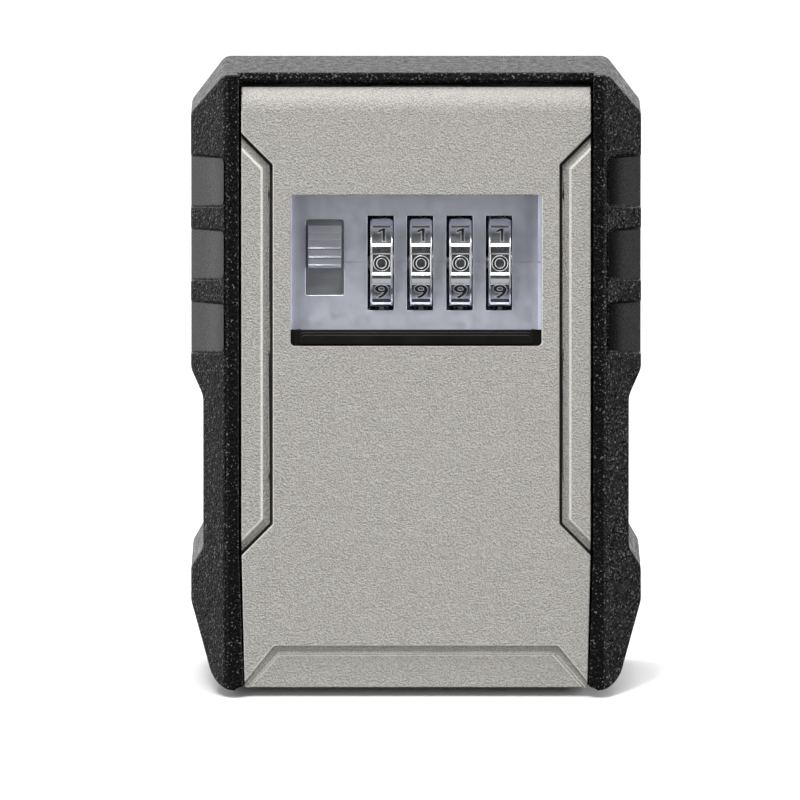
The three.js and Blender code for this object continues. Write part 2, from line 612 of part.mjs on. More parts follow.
// Across the dial: a sunk facet for each digit, with a raised bar after it.
function ratchetOutline() {
  const step = (2 * Math.PI) / DIGITS;
  const tooth = [[-1.5, FACET_RADIUS], [-1, DIAL_RADIUS], [1, DIAL_RADIUS], [1.5, FACET_RADIUS]];
  const corners = [];
  for (let digit = 0; digit < DIGITS; digit += 1) {
    tooth.forEach(([share, radius]) => {
      const angle = (digit + 0.5) * step + share * BAR_ANGLE;
      corners.push([DIAL_Y - radius * Math.cos(angle), DIAL_Z + radius * Math.sin(angle)]);
    });
  }
  return corners;
}

// Each dial has ten sunk digit facets between raised bars, and a notched cam on its right.
function codeDial(index) {
  const x = DIAL_X[index];
  const wheel = prismX(ratchetOutline(), x - DIAL_HALF + 0.35, x + DIAL_HALF - 0.35);
  const sides = [x - DIAL_HALF, x + DIAL_HALF - 0.4]
    .map((x0) => rodX(DIAL_RADIUS - 0.35, x0, x0 + 0.4, DIAL_Y, DIAL_Z, 40));
  const cam = rodX(CAM_RADIUS, x, x + DIAL_HALF + CAM_THICK, DIAL_Y, DIAL_Z, 32);
  const notch = box(x + DIAL_HALF, x + DIAL_HALF + CAM_THICK + 1, DIAL_Y - 1, DIAL_Y + 1,
    DIAL_Z + CAM_RADIUS - 0.9, DIAL_Z + CAM_RADIUS + 1);
  const bore = rodX(DIAL_BORE, x - 10, x + 10, DIAL_Y, DIAL_Z, 24);
  return piece(`code_dial_${index + 1}`, cut(join(wheel, ...sides, cam), notch, bore), BRIGHT_CHROME);
}

function dialSpindle() {
  const shape = rodX(SPINDLE_RADIUS, CHEEK_LEFT - 0.8, SPINDLE_RIGHT, DIAL_Y, DIAL_Z, 24);
  return piece('dial_spindle', shape, STEEL);
}

// An open ring keeps the spindle in the right cheek.
function spindleClip() {
  const x = CHEEK_RIGHT + HOUSING_WALL + GAP;
  const ring = rodX(3.4, x, x + 0.6, DIAL_Y, DIAL_Z, 24);
  const hole = rodX(SPINDLE_RADIUS + GAP, x - 1, x + 2, DIAL_Y, DIAL_Z, 24);
  const mouth = box(x - 1, x + 2, DIAL_Y - 1.2, DIAL_Y + 1.2, DIAL_Z - 5, DIAL_Z);
  return piece('spindle_clip', cut(ring, hole, mouth), STEEL);
}

// One spring finger under each dial gives it its clicks.
function detentComb() {
  const base = box(CHEEK_LEFT + SLIP, CHEEK_RIGHT - SLIP, COMB_FRONT, COMB_BACK,
    COMB_LOW, COMB_LOW + COMB_THICK);
  const tip = DIAL_Z - DIAL_RADIUS - GAP;
  const near = DIAL_Y - 0.4;
  const far = DIAL_Y + 0.4;
  const corners = [[near, COMB_LOW + 0.2], [far, COMB_LOW + 0.2], [far, tip - 0.5], [DIAL_Y, tip],
    [near, tip - 0.5]];
  const fingers = DIAL_X.map((x) => prismX(corners, x - 1.2, x + 1.2));
  const holes = combScrewX.map((x) => rodZ(SCREW_HOLE, 60, 70, x, COMB_SCREW_Y, 16));
  return piece('detent_comb', cut(join(base, ...fingers), ...holes), STEEL);
}

const combScrews = () => combScrewX.map((x, index) => place(panScrew(`comb_screw_${index + 1}`, 3.6),
  x, COMB_SCREW_Y, COMB_LOW + COMB_THICK + GAP, UP));

// ---------- latch ----------

const BUTTON_GROOVES = 5;
const BUTTON_PITCH = 1.5;

function openButton() {
  const middle = (BUTTON_LOW + BUTTON_HIGH) / 2;
  const body = box(BUTTON_X - BUTTON_HALF, BUTTON_X + BUTTON_HALF, BUTTON_FRONT, LATCH_FRONT - GAP,
    BUTTON_LOW, BUTTON_HIGH);
  const grooves = [];
  for (let index = 0; index < BUTTON_GROOVES; index += 1) {
    const z = middle + (index - (BUTTON_GROOVES - 1) / 2) * BUTTON_PITCH;
    grooves.push(box(BUTTON_X - FAR, BUTTON_X + FAR, 0, BUTTON_FRONT + 0.6, z - 0.35, z + 0.35));
  }
  return piece('open_button', cut(body, ...grooves), BRIGHT_CHROME);
}

const SLIDE_FOOT = 73.6;
const SLIDE_LEFT = BUTTON_X - 6.5;
const SPRING_SEAT_BACK = 17.6;

// The slide joins the button to the bolt, with one fence finger above each cam.
function latchSlide() {
  const strapRight = CHEEK_LEFT - HOUSING_WALL - SLIP;
  const strap = box(SLIDE_LEFT, strapRight, LATCH_FRONT, LATCH_BACK, SLIDE_FOOT, ARM_LOW + 0.5);
  const foot = box(BUTTON_X - 2.6, BUTTON_X + 2.6, LATCH_FRONT, SPRING_SEAT_BACK,
    SLIDE_FOOT, SLIDE_FOOT + 1.2);
  const arm = box(SLIDE_LEFT, CHEEK_RIGHT + 1, LATCH_FRONT, ARM_BACK, ARM_LOW, ARM_HIGH);
  const fingerTip = DIAL_Z + CAM_RADIUS + GAP + LATCH_TRAVEL;
  const fingers = DIAL_X.map((x) => box(
    x + DIAL_HALF + 0.35, x + DIAL_HALF + 1.25, DIAL_Y - 0.5, DIAL_Y + 0.5, fingerTip, ARM_LOW + 0.5));
  const boltBack = LATCH_FRONT + 2;
  const bolt = prismX([[LATCH_FRONT, ARM_HIGH - 0.5], [boltBack, ARM_HIGH - 0.5], [boltBack, BOLT_TOP - 0.8],
    [boltBack - 0.8, BOLT_TOP], [LATCH_FRONT, BOLT_TOP]], -BOLT_HALF, BOLT_HALF);
  return piece('latch_slide', join(strap, foot, arm, ...fingers, bolt), STEEL);
}

// The return spring stands between the housing's floor and the slide's foot.
class Helix extends THREE.Curve {
  constructor(radius, height, turns) {
    super();
    this.radius = radius;
    this.height = height;
    this.turns = turns;
  }

  getPoint(share, target = new THREE.Vector3()) {
    const angle = 2 * Math.PI * this.turns * share;
    return target.set(this.radius * Math.cos(angle), this.radius * Math.sin(angle), this.height * share);
  }
}

const WIRE_RADIUS = 0.35;
const COIL_RADIUS = 1.85;
const COIL_TURNS = 6;
const COIL_Y = 15;

function latchSpring() {
  const low = FLOOR_TOP + GAP + WIRE_RADIUS;
  const high = SLIDE_FOOT - GAP - WIRE_RADIUS;
  const extrudePath = new Helix(COIL_RADIUS, high - low, COIL_TURNS);
  const circle = new THREE.EllipseCurve(0, 0, WIRE_RADIUS, WIRE_RADIUS).getPoints(6).slice(0, -1);
  const options = { steps: COIL_TURNS * 12, extrudePath, bevelEnabled: false };
  const coil = new THREE.ExtrudeGeometry(new THREE.Shape(circle), options);
  return piece('latch_spring', coil.translate(BUTTON_X, COIL_Y, low), STEEL);
}

// ---------- back of the door ----------

const COVER_HALF = 27.6;
const COVER_TOP = 104;
const NECK_HALF = 1.8;

function backCover() {
  const blank = rectangle(-COVER_HALF, COVER_HALF, HOUSING_LOW, COVER_TOP, 2);
  const plate = prismY(blank, COVER_FRONT, COVER_BACK);
  const holes = coverScrewPlaces.map(([x, z]) => rodY(SCREW_HOLE, COVER_FRONT - 1, COVER_BACK + 1, x, z, 16));
  const reach = NECK_HALF + SLIP;
  const slot = box(LEVER_X - reach, LEVER_X + reach + LEVER_TRAVEL, COVER_FRONT - 1, COVER_BACK + 1,
    LEVER_Z - 1.8, LEVER_Z + 1.8);
  return piece('back_cover', cut(plate, ...holes, slot), STEEL);
}

const coverScrews = () => coverScrewPlaces.map(([x, z], index) => place(
  panScrew(`cover_screw_${index + 1}`, 8), x, COVER_BACK + GAP, z, TO_WALL));

const frameScrews = () => postPlaces.map(([x, z], index) => {
  const under = (z === POST_LOW ? PLATE_BACK : EAR_BACK) + GAP;
  return place(panScrew(`frame_screw_${index + 1}`, under - SKIN - 0.2), x, under, z, TO_WALL);
});

// Sliding this lever lets the owner set a new code.
function resetLever() {
  const insideBack = COVER_FRONT - SLIP;
  const inside = box(LEVER_X - 4, LEVER_X + 4, insideBack - 1.6, insideBack, LEVER_Z - 3, LEVER_Z + 3);
  const neck = box(LEVER_X - NECK_HALF, LEVER_X + NECK_HALF, COVER_FRONT - 1, COVER_BACK + 1,
    LEVER_Z - 1.4, LEVER_Z + 1.4);
  const knob = prismX([[COVER_BACK + SLIP, LEVER_Z - 2.4], [COVER_BACK + 2, LEVER_Z - 2.4, 0.6],
    [COVER_BACK + 2.6, LEVER_Z, 1], [COVER_BACK + 2, LEVER_Z + 2.4, 0.6], [COVER_BACK + SLIP, LEVER_Z + 2.4]],
  LEVER_X - 2.4, LEVER_X + 2.4);
  return piece('reset_lever', join(inside, neck, knob), BLACK_PLASTIC);
}

front.add(
  hingePin(), doorCover(), shutter(), lockPlate(), bezelPanel(), lockHousing(),
  dialSpindle(), spindleClip(), detentComb(), ...combScrews(), ...DIAL_X.map((x, index) => codeDial(index)),
  openButton(), latchSlide(), latchSpring(), backCover(), ...coverScrews(), ...frameScrews(), resetLever(),
);

const group = new THREE.Group();
group.add(caseShell(), backPlate(), ...plateScrews(), ...keyHooks(), strikePlate(), ...strikeScrews(), front);

export default group;
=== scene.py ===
"""The looks of a wall-mounted key lock box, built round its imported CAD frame.

Shapes on the door are modelled in the door's own leaning frame, in millimetres: x to the right,
w the depth behind the door's face, and u up along the face.
"""
import json
import math

import bmesh
import bpy
from mathutils import Matrix, Vector


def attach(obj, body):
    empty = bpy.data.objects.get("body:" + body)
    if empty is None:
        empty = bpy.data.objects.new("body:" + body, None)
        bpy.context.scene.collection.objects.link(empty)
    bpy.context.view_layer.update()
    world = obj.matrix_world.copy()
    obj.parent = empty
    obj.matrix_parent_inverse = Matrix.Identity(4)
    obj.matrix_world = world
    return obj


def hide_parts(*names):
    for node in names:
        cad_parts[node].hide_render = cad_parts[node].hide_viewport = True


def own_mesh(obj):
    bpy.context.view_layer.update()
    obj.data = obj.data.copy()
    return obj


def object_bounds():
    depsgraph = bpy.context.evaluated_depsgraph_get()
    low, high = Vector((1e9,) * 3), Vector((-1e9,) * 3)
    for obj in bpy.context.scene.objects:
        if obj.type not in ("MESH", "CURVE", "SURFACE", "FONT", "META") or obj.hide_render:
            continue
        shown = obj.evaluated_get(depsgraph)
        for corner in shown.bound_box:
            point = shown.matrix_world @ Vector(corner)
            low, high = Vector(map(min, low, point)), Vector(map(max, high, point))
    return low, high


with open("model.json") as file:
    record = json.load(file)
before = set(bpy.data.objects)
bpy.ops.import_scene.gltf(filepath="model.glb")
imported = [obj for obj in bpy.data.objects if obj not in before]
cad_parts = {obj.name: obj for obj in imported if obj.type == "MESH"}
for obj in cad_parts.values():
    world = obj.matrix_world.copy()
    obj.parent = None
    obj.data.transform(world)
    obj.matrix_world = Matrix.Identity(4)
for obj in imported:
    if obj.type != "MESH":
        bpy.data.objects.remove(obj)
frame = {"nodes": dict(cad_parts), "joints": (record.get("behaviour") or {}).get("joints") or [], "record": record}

CAD_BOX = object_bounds()
MM = 0.001
JOINTS = {joint["name"]: joint for joint in frame["joints"]}

# ---------- the leaning frame, from the hinge and the shutter's slide ----------

PIN_W = 3.6
PIN_U = 3.4
UP_FACE = Vector(JOINTS["shutter_slide"]["axis"]).normalized()
INTO_FACE = Vector((0, UP_FACE.z, -UP_FACE.y))
FACE_FOOT = Vector(JOINTS["door_hinge"]["pos_m"]) - MM * (PIN_W * INTO_FACE + PIN_U * UP_FACE)
LEANING = Matrix.Translation(FACE_FOOT) @ Matrix((
    (MM, 0, 0, 0),
    (0, MM * INTO_FACE.y, MM * UP_FACE.y, 0),
    (0, MM * INTO_FACE.z, MM * UP_FACE.z, 0),
    (0, 0, 0, 1),
))
# The case's own frame: x, y and z in millimetres, with z counted from the foot.
UPRIGHT = Matrix.Translation((0, 0, CAD_BOX[0].z)) @ Matrix.Scale(MM, 4)
LEAN = math.atan2(UP_FACE.y, UP_FACE.z)

# ---------- sizes, in millimetres ----------

HEIGHT = 120
DEPTH = 44
HALF_WIDTH = 44.45
RIM_PROUD = 0.4
RIM_HALF = 37.4
RIM_BACK = 3.2
OPENING_HALF = 34.9
FOOT_MOUTH_HALF = 33.95
CAVITY_HALF = 38
FLANK_SLOPE = 0.705
PAD_SLOPE = 0.46
PAD_START_X = 37.9
PAD_HEIGHT = 9.7
PAD_PITCH = 14.4
LOWEST_PAD = 66.5
LIP_FRONT_Y = -23.7
FLOOR_FRONT_Y = -33.6
LIP_THICK = 1.6
TOP_WALL = 2.6
WALL = 2.4
SCREW_HOLE = 1.25
PIN_BORE = 1.8

# Below this height, the door and its mouth get narrower towards the foot.
TAPER_TOP = 27.5

DOOR_HALF = 34.4
DOOR_FOOT = 0.3
DOOR_TOP = 118.8
DOOR_CURL = 4.8
DOOR_DEPTH = 7.6
SKIN = 1.6
WINDOW_HALF = 24.7
WINDOW_LOW = 67.8
WINDOW_HIGH = 97.5
STRIP_X = 29
STRIP_LOW = 33
STRIP_HIGH = 103.2

PANEL_HALF = 25.7
PANEL_LOW = 66.5
PANEL_HIGH = 98.8
PANEL_FRONT = 3.7
PANEL_DEPTH = 9.2
PANEL_BACK = 10

DIAL_X = (-6.8, 0.98, 8.76, 16.54)
DIAL_W = 13.9
DIAL_U = 84
DIAL_RADIUS = 10.2
DIAL_HALF = 2.18
DIGITS = 10

BUTTON_X = -18
BUTTON_HALF = 3.25
BUTTON_LOW = 83
BUTTON_HIGH = 91.5
BUTTON_FRONT = 6.6
LATCH_TRAVEL = 5

# Cutting shapes reach past the piece: well past it, or past its whole width.
FAR = 20
WIDE = 60

# ---------- mesh helpers ----------


def arc_corner(before, corner, after, radius, steps=None):
    """The points of an arc that rounds one corner of an outline."""
    corner = Vector(corner[:2])
    back = (Vector(before[:2]) - corner).normalized()
    ahead = (Vector(after[:2]) - corner).normalized()
    half = math.acos(max(-1, min(1, back.dot(ahead)))) / 2
    centre = corner + (back + ahead).normalized() * (radius / math.sin(half))
    reach = radius / math.tan(half)
    start = corner + back * reach - centre
    end = corner + ahead * reach - centre
    turn = math.copysign(math.pi - 2 * half, start.cross(end))
    steps = steps or max(3, math.ceil(abs(turn) / 0.16))
    return [centre + turned(start, turn * k / steps) for k in range(steps + 1)]


def turned(point, angle):
    c, s = math.cos(angle), math.sin(angle)
    return Vector((point.x * c - point.y * s, point.x * s + point.y * c))


def outline(corners, steps=None):
    """Corners are (a, b) or (a, b, radius); a corner with a radius becomes an arc."""
    points = []
    for k, corner in enumerate(corners):
        radius = corner[2] if len(corner) > 2 else 0
        if radius:
            points += arc_corner(corners[k - 1], corner, corners[(k + 1) % len(corners)], radius, steps)
        else:
            points.append(Vector(corner[:2]))
    return points


def mirrored(corners):
    return [(-a, *rest) for a, *rest in reversed(corners)]


def both_sides(corners):
    return list(corners) + mirrored(corners)


def rectangle(a0, a1, b0, b1, radius=0):
    return [(a0, b0, radius), (a1, b0, radius), (a1, b1, radius), (a0, b1, radius)]


def mesh_object(name, bm):
    bmesh.ops.recalc_face_normals(bm, faces=bm.faces)
    mesh = bpy.data.meshes.new(name)
    bm.to_mesh(mesh)
    bm.free()
    obj = bpy.data.objects.new(name, mesh)
    bpy.context.scene.collection.objects.link(obj)
    return obj


def loft(rings, name="solid"):
    """A closed solid through rings of equal length, with flat ends."""
    bm = bmesh.new()
    rows = [[bm.verts.new(point) for point in ring] for ring in rings]
    count = len(rows[0])
    for low, high in zip(rows, rows[1:]):
        for k in range(count):
            bm.faces.new((low[k], low[(k + 1) % count], high[(k + 1) % count], high[k]))
    bm.faces.new(rows[0])
    bm.faces.new(rows[-1])
    return mesh_object(name, bm)


AXES = {
    "x": lambda a, b, along: (along, a, b),
    "y": lambda a, b, along: (a, along, b),
    "z": lambda a, b, along: (a, b, along),
}


def prism(axis, corners, low, high):
    """An outline pushed along an axis: (y, z) along x, (x, z) along y, or (x, y) along z."""
    points = outline(corners)
    place = AXES[axis]
    return loft([[place(p[0], p[1], along) for p in points] for along in (low, high)])


def layers(axis, *sections):
    """A solid through outlines of equal length, each given as (corners, place along the axis)."""
    place = AXES[axis]
    return loft([[place(p[0], p[1], along) for p in outline(corners, 8)] for corners, along in sections])


def block(x0, x1, y0, y1, z0, z1):
    return prism("y", rectangle(x0, x1, z0, z1), y0, y1)


def blocks_both_sides(x0, x1, *rest):
    return [block(x0, x1, *rest), block(-x1, -x0, *rest)]


def circle(a, b, radius, sides=48):
    turn = 2 * math.pi / sides
    return [(a + radius * math.cos(k * turn), b + radius * math.sin(k * turn)) for k in range(sides)]


def rod(axis, a, b, radius, low, high, sides=48):
    return prism(axis, circle(a, b, radius, sides), low, high)


def swept(path, profile):
    """A solid whose profile, given as (offset to the left of the path, w), follows a path in (x, u)."""
    rings = []
    for k, point in enumerate(path):
        before = (point - path[k - 1]).normalized() if k else None
        after = (path[k + 1] - point).normalized() if k + 1 < len(path) else None
        along = ((before or after) + (after or before)).normalized()
        left = Vector((-along.y, along.x))
        stretch = 1 / max(0.5, along.dot(before or after))
        spread = [point + left * (offset * stretch) for offset, _ in profile]
        rings.append([(p.x, w, p.y) for p, (_, w) in zip(spread, profile)])
    return loft(rings)


def moved(obj, matrix):
    obj.data.transform(matrix)
    return obj


def placed(matrix, objects):
    return [moved(obj, matrix) for obj in objects]


def boolean(base, tool, operation):
    change = base.modifiers.new("boolean", "BOOLEAN")
    change.object = tool
    change.operation = operation
    change.solver = "EXACT"
    apply_modifiers(base)
    bpy.data.objects.remove(tool)
    return base


def cut(base, *tools):
    for tool in tools:
        boolean(base, tool, "DIFFERENCE")
    return base


def join(base, *tools):
    for tool in tools:
        boolean(base, tool, "UNION")
    return base


def apply_modifiers(obj):
    depsgraph = bpy.context.evaluated_depsgraph_get()
    result = bpy.data.meshes.new_from_object(obj.evaluated_get(depsgraph), depsgraph=depsgraph)
    obj.modifiers.clear()
    obj.data = result
    return obj


FLAT_ANGLE = math.radians(1.5)
SHARP_ANGLE = math.radians(33)
SAME_PLACE = 1e-3


def soften(obj, width, segments=3, splits=(("x", 0),)):
    """Merges flat faces and rounds the sharp edges by a width in millimetres.

    The splits, as (axis, place), run through the openings, so that no merged face has a hole in it.
    """
    bm = bmesh.new()
    bm.from_mesh(obj.data)
    bmesh.ops.remove_doubles(bm, verts=bm.verts, dist=SAME_PLACE)
    for axis, place in splits:
        normal = Vector([float(letter == axis) for letter in "xyz"])
        everything = bm.verts[:] + bm.edges[:] + bm.faces[:]
        slit = bmesh.ops.bisect_plane(bm, geom=everything, dist=1e-4, plane_co=normal * place, plane_no=normal)
        for part in slit["geom_cut"]:
            if isinstance(part, bmesh.types.BMEdge):
                part.seam = True
    bmesh.ops.dissolve_limit(bm, angle_limit=FLAT_ANGLE, verts=bm.verts, edges=bm.edges, delimit={"SEAM"})
    bmesh.ops.dissolve_degenerate(bm, edges=bm.edges, dist=SAME_PLACE)
    holed = [face for face in bm.faces if len(set(face.verts)) < len(face.verts)
             or len(set(face.edges)) < len(face.edges)]
    bmesh.ops.connect_verts_concave(bm, faces=holed)
    bm.to_mesh(obj.data)
    bm.free()
    bevel = obj.modifiers.new("round", "BEVEL")
    bevel.width = width
    bevel.segments = segments
    bevel.limit_method = "ANGLE"
    bevel.angle_limit = SHARP_ANGLE
    bevel.use_clamp_overlap = False
    bevel.miter_outer = "MITER_ARC"
    return apply_modifiers(obj)


def shade(obj, sharp):
    """Smooth shading with sharp edges above an angle, and flat faces that stay flat to the eye."""
    obj.data.shade_smooth()
    obj.data.set_sharp_from_angle(angle=sharp)
    weigh = obj.modifiers.new("weighted", "WEIGHTED_NORMAL")
    weigh.keep_sharp = True
    weigh.weight = 80
    return apply_modifiers(obj)


def finish_piece(obj, name, matrix, material, body, slot, *replaced, sharp=SHARP_ANGLE):
    """Puts a piece in the frame, names it, and gives it its material and body; the slot argument is not used."""
    obj.name = name
    moved(obj, matrix)
    shade(obj, sharp)
    obj.data.name = name
    obj.data.materials.clear()
    obj.data.materials.append(material)
    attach(obj, body)
    if replaced:
        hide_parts(*replaced)
    return obj


# ---------- materials ----------


class Nodes:
    """Short names for the nodes of one material."""

    def __init__(self, name):
        self.material = bpy.data.materials.new(name)
        self.material.use_nodes = True
        self.tree = self.material.node_tree
        self.shader = self.tree.nodes["Principled BSDF"]
        self.place = self.tree.nodes.new("ShaderNodeTexCoord").outputs["Object"]

    def link(self, source, target):
        self.tree.links.new(source, target)

    def stretched(self, scale):
        mapping = self.tree.nodes.new("ShaderNodeMapping")
        mapping.inputs["Scale"].default_value = scale
        self.link(self.place, mapping.inputs["Vector"])
        return mapping.outputs["Vector"]

    def noise(self, grain_mm, detail=2.0, rough=0.5, scale=None):
        node = self.tree.nodes.new("ShaderNodeTexNoise")
        node.inputs["Scale"].default_value = 1 / (grain_mm * MM)
        node.inputs["Detail"].default_value = detail
        node.inputs["Roughness"].default_value = rough
        self.link(self.stretched(scale) if scale else self.place, node.inputs["Vector"])
        return node.outputs["Fac"]

    def ramp(self, value, low, high, start, end):
        node = self.tree.nodes.new("ShaderNodeMapRange")
        node.inputs["From Min"].default_value = low
        node.inputs["From Max"].default_value = high
        node.inputs["To Min"].default_value = start
        node.inputs["To Max"].default_value = end
        self.link(value, node.inputs["Value"])
        return node.outputs["Result"]

    def mix(self, share, first, second):
        node = self.tree.nodes.new("ShaderNodeMix")
        node.data_type = "RGBA"
        node.inputs["A"].default_value = (*first, 1)
        node.inputs["B"].default_value = (*second, 1)
        self.link(share, node.inputs["Factor"])
        return node.outputs["Result"]

    def bump(self, height, depth_mm, under=None):
        node = self.tree.nodes.new("ShaderNodeBump")
        node.inputs["Distance"].default_value = depth_mm * MM
        node.inputs["Strength"].default_value = 1
        self.link(height, node.inputs["Height"])
        if under:
            self.link(under, node.inputs["Normal"])
        return node.outputs["Normal"]

    def set(self, **values):
        for name, value in values.items():
            socket = self.shader.inputs[name.replace("_", " ")]
            if isinstance(value, bpy.types.NodeSocket):
                self.link(value, socket)
            else:
                socket.default_value = (*value, 1) if isinstance(value, tuple) else value
        return self.material


def black_coat(name, sparse, gloss):
    """A textured powder coat with glints painted into its colour as bright grains; the painted glints start at the
    noise level sparse.
    """
    nodes = Nodes(name)
    fine = nodes.noise(0.42, detail=1.5, rough=0.5)
    coarse = nodes.noise(1.5, detail=3, rough=0.7)
    relief = nodes.bump(fine, 0.32, under=nodes.bump(coarse, 0.4))
    # Painted glints: grains above the level sparse get a bright colour that stands in for light caught by the coat.
    colour = nodes.mix(nodes.ramp(fine, sparse, sparse + 0.08, 0, 1), (0.001, 0.001, 0.001), (0.16, 0.16, 0.16))
    return nodes.set(Base_Color=colour, Roughness=nodes.ramp(coarse, 0.35, 0.65, 0.18, 0.44), Normal=relief,
                     Specular_IOR_Level=gloss)


def grey_coat():
    nodes = Nodes("grey_coat")
    fine = nodes.noise(0.34, detail=1, rough=0.5)
    relief = nodes.bump(fine, 0.40)
    colour = nodes.mix(nodes.ramp(fine, 0.35, 0.65, 0, 1), (0.315, 0.304, 0.282), (0.445, 0.431, 0.403))
    return nodes.set(Base_Color=colour, Roughness=nodes.ramp(fine, 0.3, 0.7, 0.42, 0.55), Normal=relief,
                     Specular_IOR_Level=0.35)


# Painted highlight: a lighter copy of the grey coat for the edges that catch the light.
def rubbed_coat():
    nodes = Nodes("rubbed_coat")
    fine = nodes.noise(0.34, detail=1, rough=0.5)
    colour = nodes.mix(nodes.ramp(fine, 0.35, 0.65, 0, 1), (0.56, 0.545, 0.51), (0.68, 0.665, 0.63))
    return nodes.set(Base_Color=colour, Roughness=nodes.ramp(fine, 0.3, 0.7, 0.38, 0.5),
                     Normal=nodes.bump(fine, 0.12), Specular_IOR_Level=0.45)


def pad_coat():
    nodes = Nodes("pad_coat")
    fine = nodes.noise(0.42, detail=1.5, rough=0.5)
    relief = nodes.bump(fine, 0.06)
    return nodes.set(Base_Color=nodes.mix(fine, (0.001, 0.001, 0.001), (0.004, 0.004, 0.004)),
                     Roughness=nodes.ramp(fine, 0.35, 0.65, 0.2, 0.3), Normal=relief, Specular_IOR_Level=0.2)


def satin_chrome(name, low, high):
    nodes = Nodes(name)
    haze = nodes.noise(1.8, detail=3)
    relief = nodes.bump(nodes.noise(0.25, detail=1), 0.004)
    colour = nodes.mix(haze, low, high)
    return nodes.set(Base_Color=colour, Metallic=1.0, Roughness=nodes.ramp(haze, 0.2, 0.8, 0.34, 0.42), Normal=relief)


def bright_chrome():
    nodes = Nodes("bright_chrome")
    haze = nodes.noise(1.2, detail=3)
    grain = nodes.noise(0.22, detail=3, rough=0.7, scale=(0.06, 1, 1))
    colour = nodes.mix(haze, (0.74, 0.75, 0.78), (0.84, 0.85, 0.88))
    return nodes.set(Base_Color=colour, Metallic=1.0, Roughness=nodes.ramp(haze, 0.2, 0.8, 0.14, 0.22),
                     Normal=nodes.bump(grain, 0.004))


def brushed_steel():
    nodes = Nodes("brushed_steel")
    grain = nodes.noise(0.35, detail=4, rough=0.7, scale=(0.04, 1, 1))
    cloud = nodes.noise(6, detail=3)
    colour = nodes.mix(nodes.ramp(cloud, 0.3, 0.7, 0, 1), (0.40, 0.41, 0.43), (0.52, 0.53, 0.55))
    relief = nodes.bump(grain, 0.006)
    return nodes.set(Base_Color=colour, Metallic=1.0, Roughness=nodes.ramp(grain, 0.2, 0.8, 0.26, 0.42),
                     Normal=relief)


def screw_steel():
    nodes = Nodes("screw_steel")
    cloud = nodes.noise(0.8, detail=4)
    colour = nodes.mix(nodes.ramp(cloud, 0.3, 0.7, 0, 1), (0.36, 0.36, 0.37), (0.50, 0.50, 0.50))
    return nodes.set(Base_Color=colour, Metallic=1.0, Roughness=nodes.ramp(cloud, 0.2, 0.8, 0.25, 0.45),
                     Normal=nodes.bump(nodes.noise(0.15), 0.003))


def dark_zinc():
    nodes = Nodes("dark_zinc")
    cloud = nodes.noise(2.5, detail=4)
    grit = nodes.noise(0.25, detail=3, rough=0.6)
    colour = nodes.mix(nodes.ramp(cloud, 0.3, 0.7, 0, 1), (0.060, 0.062, 0.068), (0.105, 0.108, 0.115))
    return nodes.set(Base_Color=colour, Metallic=0.6, Roughness=nodes.ramp(grit, 0.2, 0.8, 0.45, 0.62),
                     Normal=nodes.bump(grit, 0.02))


def black_plastic():
    nodes = Nodes("black_plastic")
    grit = nodes.noise(0.18, detail=2)
    cloud = nodes.noise(5, detail=2)
    colour = nodes.mix(cloud, (0.003, 0.003, 0.003), (0.007, 0.007, 0.006))
    return nodes.set(Base_Color=colour, Roughness=nodes.ramp(cloud, 0.2, 0.8, 0.3, 0.42),
                     Normal=nodes.bump(grit, 0.006), Specular_IOR_Level=0.2)


def polished_edge():
    nodes = Nodes("polished_edge")
    haze = nodes.noise(0.6, detail=2)
    colour = nodes.mix(haze, (0.72, 0.73, 0.76), (0.84, 0.85, 0.88))
    return nodes.set(Base_Color=colour, Metallic=1.0, Roughness=nodes.ramp(haze, 0.2, 0.8, 0.34, 0.44))


def dark_paint(name, low, high):
    nodes = Nodes(name)
    cloud = nodes.noise(0.5, detail=2)
    colour = nodes.mix(cloud, low, high)
    return nodes.set(Base_Color=colour, Roughness=nodes.ramp(cloud, 0.2, 0.8, 0.4, 0.55))


BLACK_COAT = black_coat("black_coat", 0.605, 0.17)
# Painted shade: a darker copy of the black coat, with fewer painted glints and less gloss, for the front faces of the
# rims.
SHADED_RIM_COAT = black_coat("shaded_rim_coat", 0.645, 0.09)
GREY_COAT = grey_coat()
# Painted highlight for the door's edges that face the light.
PAINTED_EDGE_HIGHLIGHT = rubbed_coat()
PAD_COAT = pad_coat()
SATIN_CHROME = satin_chrome("satin_chrome", (0.74, 0.76, 0.86), (0.80, 0.82, 0.92))
BUTTON_CHROME = satin_chrome("button_chrome", (0.47, 0.48, 0.53), (0.54, 0.55, 0.60))
BRIGHT_CHROME = bright_chrome()
BRUSHED_STEEL = brushed_steel()
SCREW_STEEL = screw_steel()
DARK_ZINC = dark_zinc()
BLACK_PLASTIC = black_plastic()
BLACK_PAINT = dark_paint("black_paint", (0.003, 0.003, 0.003), (0.008, 0.008, 0.008))
# Painted shade: a dark colour for the floors of the strip grooves, where shade falls.
PAINTED_GROOVE_SHADE = dark_paint("painted_groove_shade", (0.036, 0.034, 0.031), (0.062, 0.059, 0.054))
POLISHED_EDGE = polished_edge()
SLOT_MATERIALS = {
    "black_coat": BLACK_COAT,
    "grey_coat": GREY_COAT,
    "satin_chrome": SATIN_CHROME,
    "bright_chrome": BRIGHT_CHROME,
    "steel": BRUSHED_STEEL,
    "screw_steel": SCREW_STEEL,
    "dark_zinc": DARK_ZINC,
    "black_plastic": BLACK_PLASTIC,
}

# ---------- case ----------

